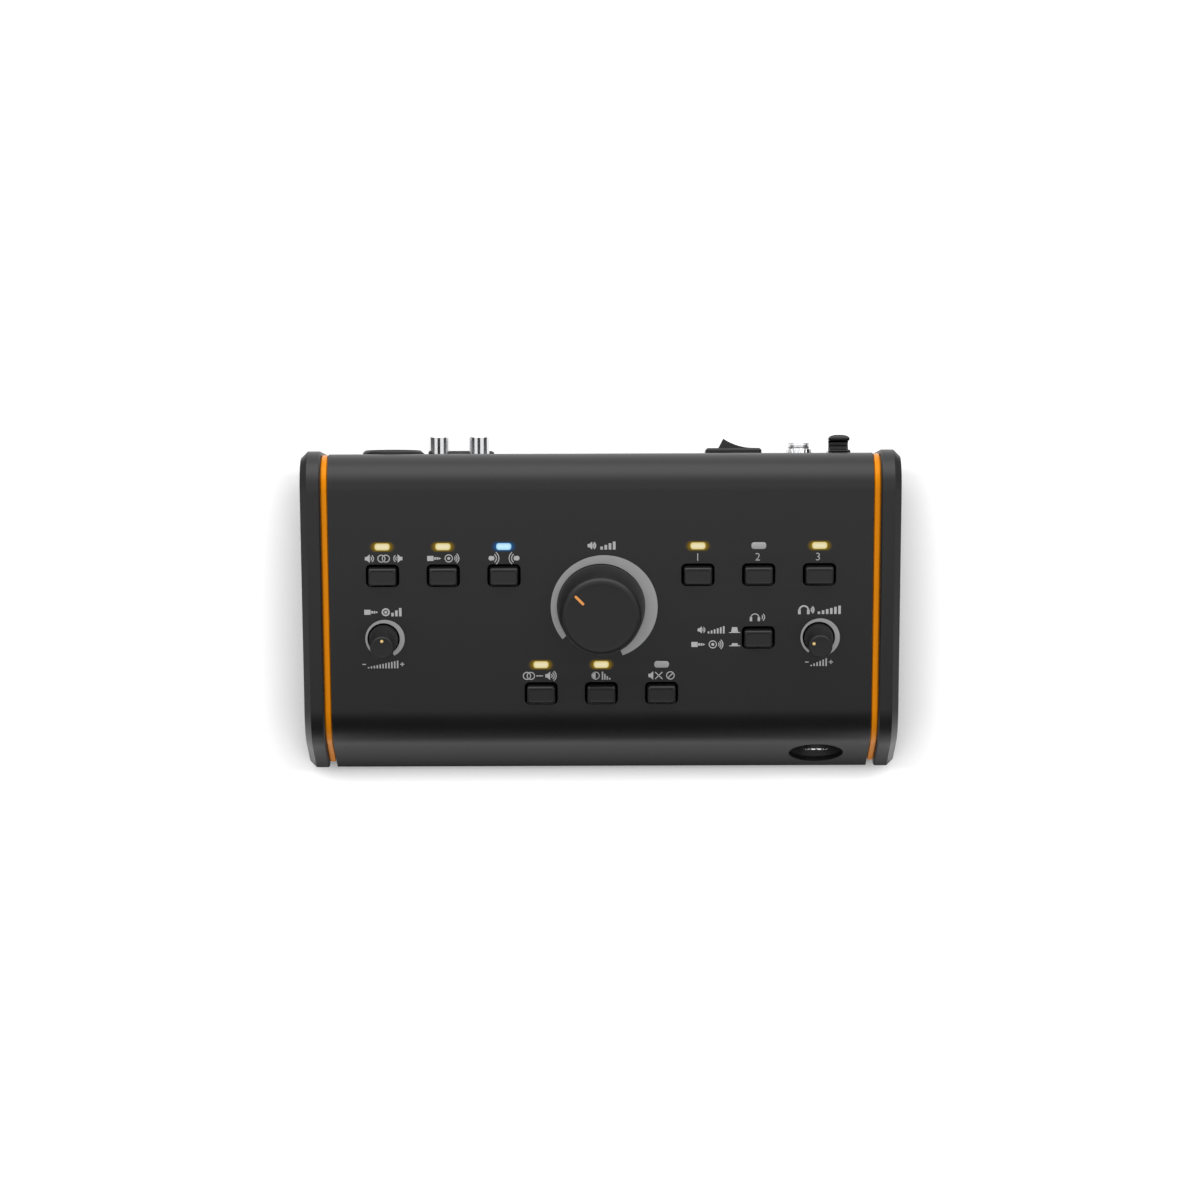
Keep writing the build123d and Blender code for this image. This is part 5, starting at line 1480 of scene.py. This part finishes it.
JACK_X, JACK_Z, DIGIT_GAP, REAR_DIGIT_HIGH = (26.0, 0.0, -26.0), (38.0, 16.6), 8.3, 2.8
INPUTS = {
    "input_phono": (-54.85, 46.6), "input_combo_upper": (-63.5, 27.2), "input_combo_lower": (-63.5, 14.0),
}
ARROW_TIP = ((0.5, -1.0), (2.2, 0.0), (0.5, 1.0))
SUPPLY_DROP, SUPPLY_LINE = 8.6, 0.35

for number, x in zip("123", JACK_X):
    for row, z in zip(("upper", "lower"), JACK_Z):
        digit(f"digit_{number}_{row}", number, REAR_DIGIT_HIGH,
              lambda px, py, rise, x=x, z=z: rear_at(x - px, z + DIGIT_GAP + py, rise))
for name, at in INPUTS.items():
    arrow = rear_print(*at).box(-2.2, -0.25, 0.6, 0.25).solid([Vector(point) for point in ARROW_TIP])
    arrow.finish("mark_" + name, grey_ink)
supply = rear_print(DC_PLACE[0], DC_PLACE[1] - SUPPLY_DROP)
minus(supply, -3.6, 0.8, SUPPLY_LINE).line([(-2.2, 0), (-1.2, 0)], 0.3)
supply.arc(0, 0, 1.1, SUPPLY_LINE, -140, 140).disc(0, 0, 0.42).line([(0.3, 0), (2.2, 0)], 0.3)
plus(supply, 3.4, 0.8, SUPPLY_LINE).finish("mark_supply", grey_ink)
print(len(JACK_X) * len(JACK_Z), "digits,", len(INPUTS), "arrows and the supply's signs")

# %% [markdown]
# The rocker's face is a shallow hollow between two crests. In the paddle's own level it is an
# arc, so a mark's place on it is worked out there and then tipped over with the paddle.

# %% Bar and ring on the rocker
paddle = joints["power_rocker_swing"]
PADDLE_AT = Vector(paddle["pos_m"]) / MM
ROCKER_Z = 33.0
CREST, VALLEY, PADDLE_TILT = (6.5, 8.6), 7.6, radians(16)
hollow = CREST[1] - VALLEY
hollow_radius = (CREST[0] ** 2 + hollow ** 2) / (2 * hollow)


def paddle_print(middle):
    """Start a mark on the rocker's face, that far across it."""
    def place(px, py, rise):
        across = middle - px
        out = VALLEY + hollow_radius - (hollow_radius ** 2 - across ** 2) ** 0.5 + rise
        turned = Vector((across * cos(PADDLE_TILT) + out * sin(PADDLE_TILT),
                         out * cos(PADDLE_TILT) - across * sin(PADDLE_TILT)))
        return Vector((PADDLE_AT.x + turned.x, PADDLE_AT.y + turned.y, ROCKER_Z + py)) * MM
    return Print(place)


bar = paddle_print(3.9).box(-0.22, -1.7, 0.22, 1.7)
bar.finish("mark_on", grey_ink, "rocker_paddle", "switch_black")
circle = paddle_print(-3.9).arc(0, 0, 1.35, 0.4)
circle.finish("mark_off", grey_ink, "rocker_paddle", "switch_black")
print("bar and ring on the rocker")

# %% [markdown]
# ## Every construction part gets its finish
# The parts that keep their construction shape only need a better material. Each one names the
# record's slot that it belongs to, so a loop can hand out the finishes.

# %% Hand out the finishes
slot_of = {}
for node, part in frame["nodes"].items():
    slot_of[node] = part.data.materials[0].name.split(".")[0]
    for index in range(len(part.data.materials)):
        part.material_slots[index].link = "OBJECT"
        part.material_slots[index].material = finishes[slot_of[node]]
print(len(slot_of), "construction parts in", len(set(slot_of.values())), "finishes")

# %% [markdown]
# ## Studio
# The floor is a white sweep. What falls short of pure white is made up by a glow that only the
# camera and reflections see, so it never lights the object. The glow fades where the floor is
# hemmed in by the object's sides, which Ambient Occlusion measures, and that leaves a painted soft
# shadow along them. Behind the object, and close in front of it, the glow is raised by place on the
# floor, which paints that shadow out there.

# %% Floor
FLOOR_ALBEDO, FLOOR_HALF = 0.76, 3.0
SHADOW_REACH = 0.026                         # how far out the near shadow goes, in metres
LIFT_FOOT, LIFT_GAIN = -0.46, 1.06           # glow = foot + gain * openness
FILLED_FROM, FILLED_OVER = 0.028, 0.03       # where behind the object the shadow is filled in
FRONT_FROM, FRONT_OVER, FRONT_GAIN = -0.0656, 0.0075, 0.42     # and where in front, by how much


def where_seen(tree):
    """1 for rays that come from the camera, a reflection or a refraction, and 0 for others."""
    kinds = [tree.node("ShaderNodeLightPath", output=kind)
             for kind in ("Is Camera Ray", "Is Glossy Ray", "Is Transmission Ray")]
    return (kinds[0] + kinds[1] + kinds[2]).between(0.0, 1.0)


def flat_mesh(name, rows, finish, only_reflected=False):
    """A stage sheet through rows of points."""
    mesh = bpy.data.meshes.new(name)
    count = len(rows[0])
    faces = []
    for row in range(len(rows) - 1):
        for i in range(count - 1):
            near, far = row * count + i, (row + 1) * count + i
            faces.append((near, near + 1, far + 1, far))
    mesh.from_pydata([point for row in rows for point in row], [], faces)
    mesh.materials.append(finish.material)
    sheet = bpy.data.objects.new(name, mesh)
    scene.collection.objects.link(sheet)
    if only_reflected:
        for kind in ("camera", "diffuse", "shadow", "transmission"):
            setattr(sheet, "visible_" + kind, False)


sweep = Finish("white_sweep", Base_Color=(FLOOR_ALBEDO,) * 3 + (1.0,), Roughness=0.9, Emission_Strength=1.0,
               Specular_IOR_Level=0.0)
openness = sweep.node("ShaderNodeAmbientOcclusion", {"samples": 4}, {"Distance": SHADOW_REACH}, "AO")
back = sweep.node("ShaderNodeSeparateXYZ", None, {0: sweep.place()}, "Y")
# painted light: behind the object and just in front of it the glow is raised by place, which paints the shadow
# out there
filled = ((back - FILLED_FROM) / FILLED_OVER).between(0.0, 1.0)
openness = sweep.math("MAXIMUM", openness, filled)
in_front = FRONT_GAIN * ((FRONT_FROM - back) / FRONT_OVER).between(0.0, 1.0)
lift = (LIFT_FOOT + LIFT_GAIN * openness + in_front).between(0.0, 1.0) * where_seen(sweep)
sweep.feed("Emission Color", sweep.mix((0, 0, 0, 1), (1, 1, 1, 1), lift))
flat_mesh("floor", [[(-FLOOR_HALF, y, 0), (FLOOR_HALF, y, 0)] for y in (-FLOOR_HALF, FLOOR_HALF)], sweep)
print("floor", 2 * FLOOR_HALF, "m square")

# %% [markdown]
# The sky is plain too: white where it is seen, and dimmer where it lights. One large soft lamp
# hangs behind the object and high up, and draws the bright band along the rear curve, the caps'
# rims and the cheeks' edges.

# %% Sky and lamp
SKY_SEEN, SKY_LIGHT = 1.0, 0.58
LAMP_SIZE, LAMP_RADIANCE = (3.0, 1.15), 1.5
LAMP_ANGLE, LAMP_REACH = radians(52), 1.35

scene.world = bpy.data.worlds.new("sky")
sky = Tree(scene.world)
background = sky.nodes["Background"]
background.inputs["Color"].default_value = (1, 1, 1, 1)
sky.put(background.inputs["Strength"], SKY_LIGHT + (SKY_SEEN - SKY_LIGHT) * where_seen(sky))

lamp_data = bpy.data.lights.new("rear softbox", "AREA")
lamp_data.shape = "RECTANGLE"
lamp_data.size, lamp_data.size_y = LAMP_SIZE
lamp_data.energy = LAMP_RADIANCE * pi * LAMP_SIZE[0] * LAMP_SIZE[1]
softbox = bpy.data.objects.new("rear softbox", lamp_data)
softbox.location = (0, LAMP_REACH * sin(LAMP_ANGLE), LAMP_REACH * cos(LAMP_ANGLE))
softbox.rotation_euler = (-LAMP_ANGLE, 0, 0)
softbox.visible_camera = False
scene.collection.objects.link(softbox)
print("lamp energy", round(lamp_data.energy, 2), "W")

# %% [markdown]
# Black things look black only where they reflect something dark, so black cards stand round the
# object: one in front that draws the dark line along the front bend, and one at each side and one
# overhead, behind the object, that put the dark stripes on the bright barrels. Grey cards beside
# the object dim the cheeks' chamfers.

# %% Cards
CARD_FOOT, CARD_GLOW, CHEEK_GLOW = 0.001, 0.04, 0.36
# the front card's top edge is higher at its right end, and its angles are from straight up
FRONT_REACH, FRONT_HALF = 0.8, 1.2
FRONT_TOP, FRONT_FOOT = (radians(36), radians(31)), (radians(88), radians(88))
SIDE_NEAR, SIDE_FAR, SIDE_HIGH, SIDE_DEEP = 0.145, 0.80, {-1: 0.74, 1: 0.69}, (0.085, 0.30)
CHEEK_NEAR, CHEEK_DEEP = 0.27, (-0.6, 0.084)
OVERHEAD, OVERHEAD_HALF = (-0.045, 0.105, 1.3), (0.336, 0.08)

black = lightless("black_card")
dark, dim_grey = [
    lightless(name, Emission_Color=(1.0, 1.0, 1.0, 1.0), Emission_Strength=strength)
    for name, strength in (("dark_card", CARD_GLOW), ("grey_card", CHEEK_GLOW))
]


def around(angle, x):
    """A point in front of the object, at an angle from straight up."""
    return (x, -FRONT_REACH * sin(angle), FRONT_REACH * cos(angle))


front_rows = [[around(left, -FRONT_HALF), around(right, FRONT_HALF)] for left, right in (FRONT_TOP, FRONT_FOOT)]
cards = [("front card", front_rows, black)]
for side in (-1, 1):
    for near, depths, card in ((SIDE_NEAR, SIDE_DEEP, dark), (CHEEK_NEAR, CHEEK_DEEP, dim_grey)):
        profile = [(near, CARD_FOOT), (SIDE_FAR, CARD_FOOT), (SIDE_FAR, SIDE_HIGH[side])]
        cards.append(("side card", [[(side * x, y, z) for x, z in profile] for y in depths], card))
x, y, z = OVERHEAD
wide, deep = OVERHEAD_HALF
overhead_rows = [[(x - wide, edge, z), (x + wide, edge, z)] for edge in (y - deep, y + deep)]
cards.append(("overhead card", overhead_rows, dark))
print(len(cards), "cards cut")

# %% [markdown]
# A strip lies on the floor in front. It is dark next to the object, a painted shadow, bright in its
# middle and dark again far out, and so the front face is bright at its top and dims towards its foot.
# Then the cards and the strip are put up. Only reflections see them.

# %% Front strip, and all cards put up
STRIP_START, STRIP_END, STRIP_HALF, STRIP_RISE = -0.066, -0.8, 0.118, 0.0006
# the dark tone next to the object is a painted shadow on the floor, seen only in reflections
STRIP_DARK, STRIP_LIGHT, STRIP_RAMP, STRIP_FALL = 0.05, 1.15, 0.033, (-0.11, 0.045)

strip = lightless("grey_strip", Emission_Strength=1.0)
forward = strip.node("ShaderNodeSeparateXYZ", None, {0: strip.place()}, "Y")
away = ((STRIP_START - forward) / STRIP_RAMP).between(0.0, 1.0)
falling = 1 - ((STRIP_FALL[0] - forward) / STRIP_FALL[1]).between(0.0, 1.0)
tones = [(level, level, level, 1.0) for level in (STRIP_DARK, STRIP_LIGHT)]
strip.feed("Emission Color", strip.mix(*tones, away * falling))
strip_rows = [[(-STRIP_HALF, y, STRIP_RISE), (STRIP_HALF, y, STRIP_RISE)] for y in (STRIP_START, STRIP_END)]
cards.append(("front strip", strip_rows, strip))
for name, rows, finish in cards:
    flat_mesh(name, rows, finish, only_reflected=True)
print(len(cards), "cards stand round the object, the strip included")

# %% [markdown]
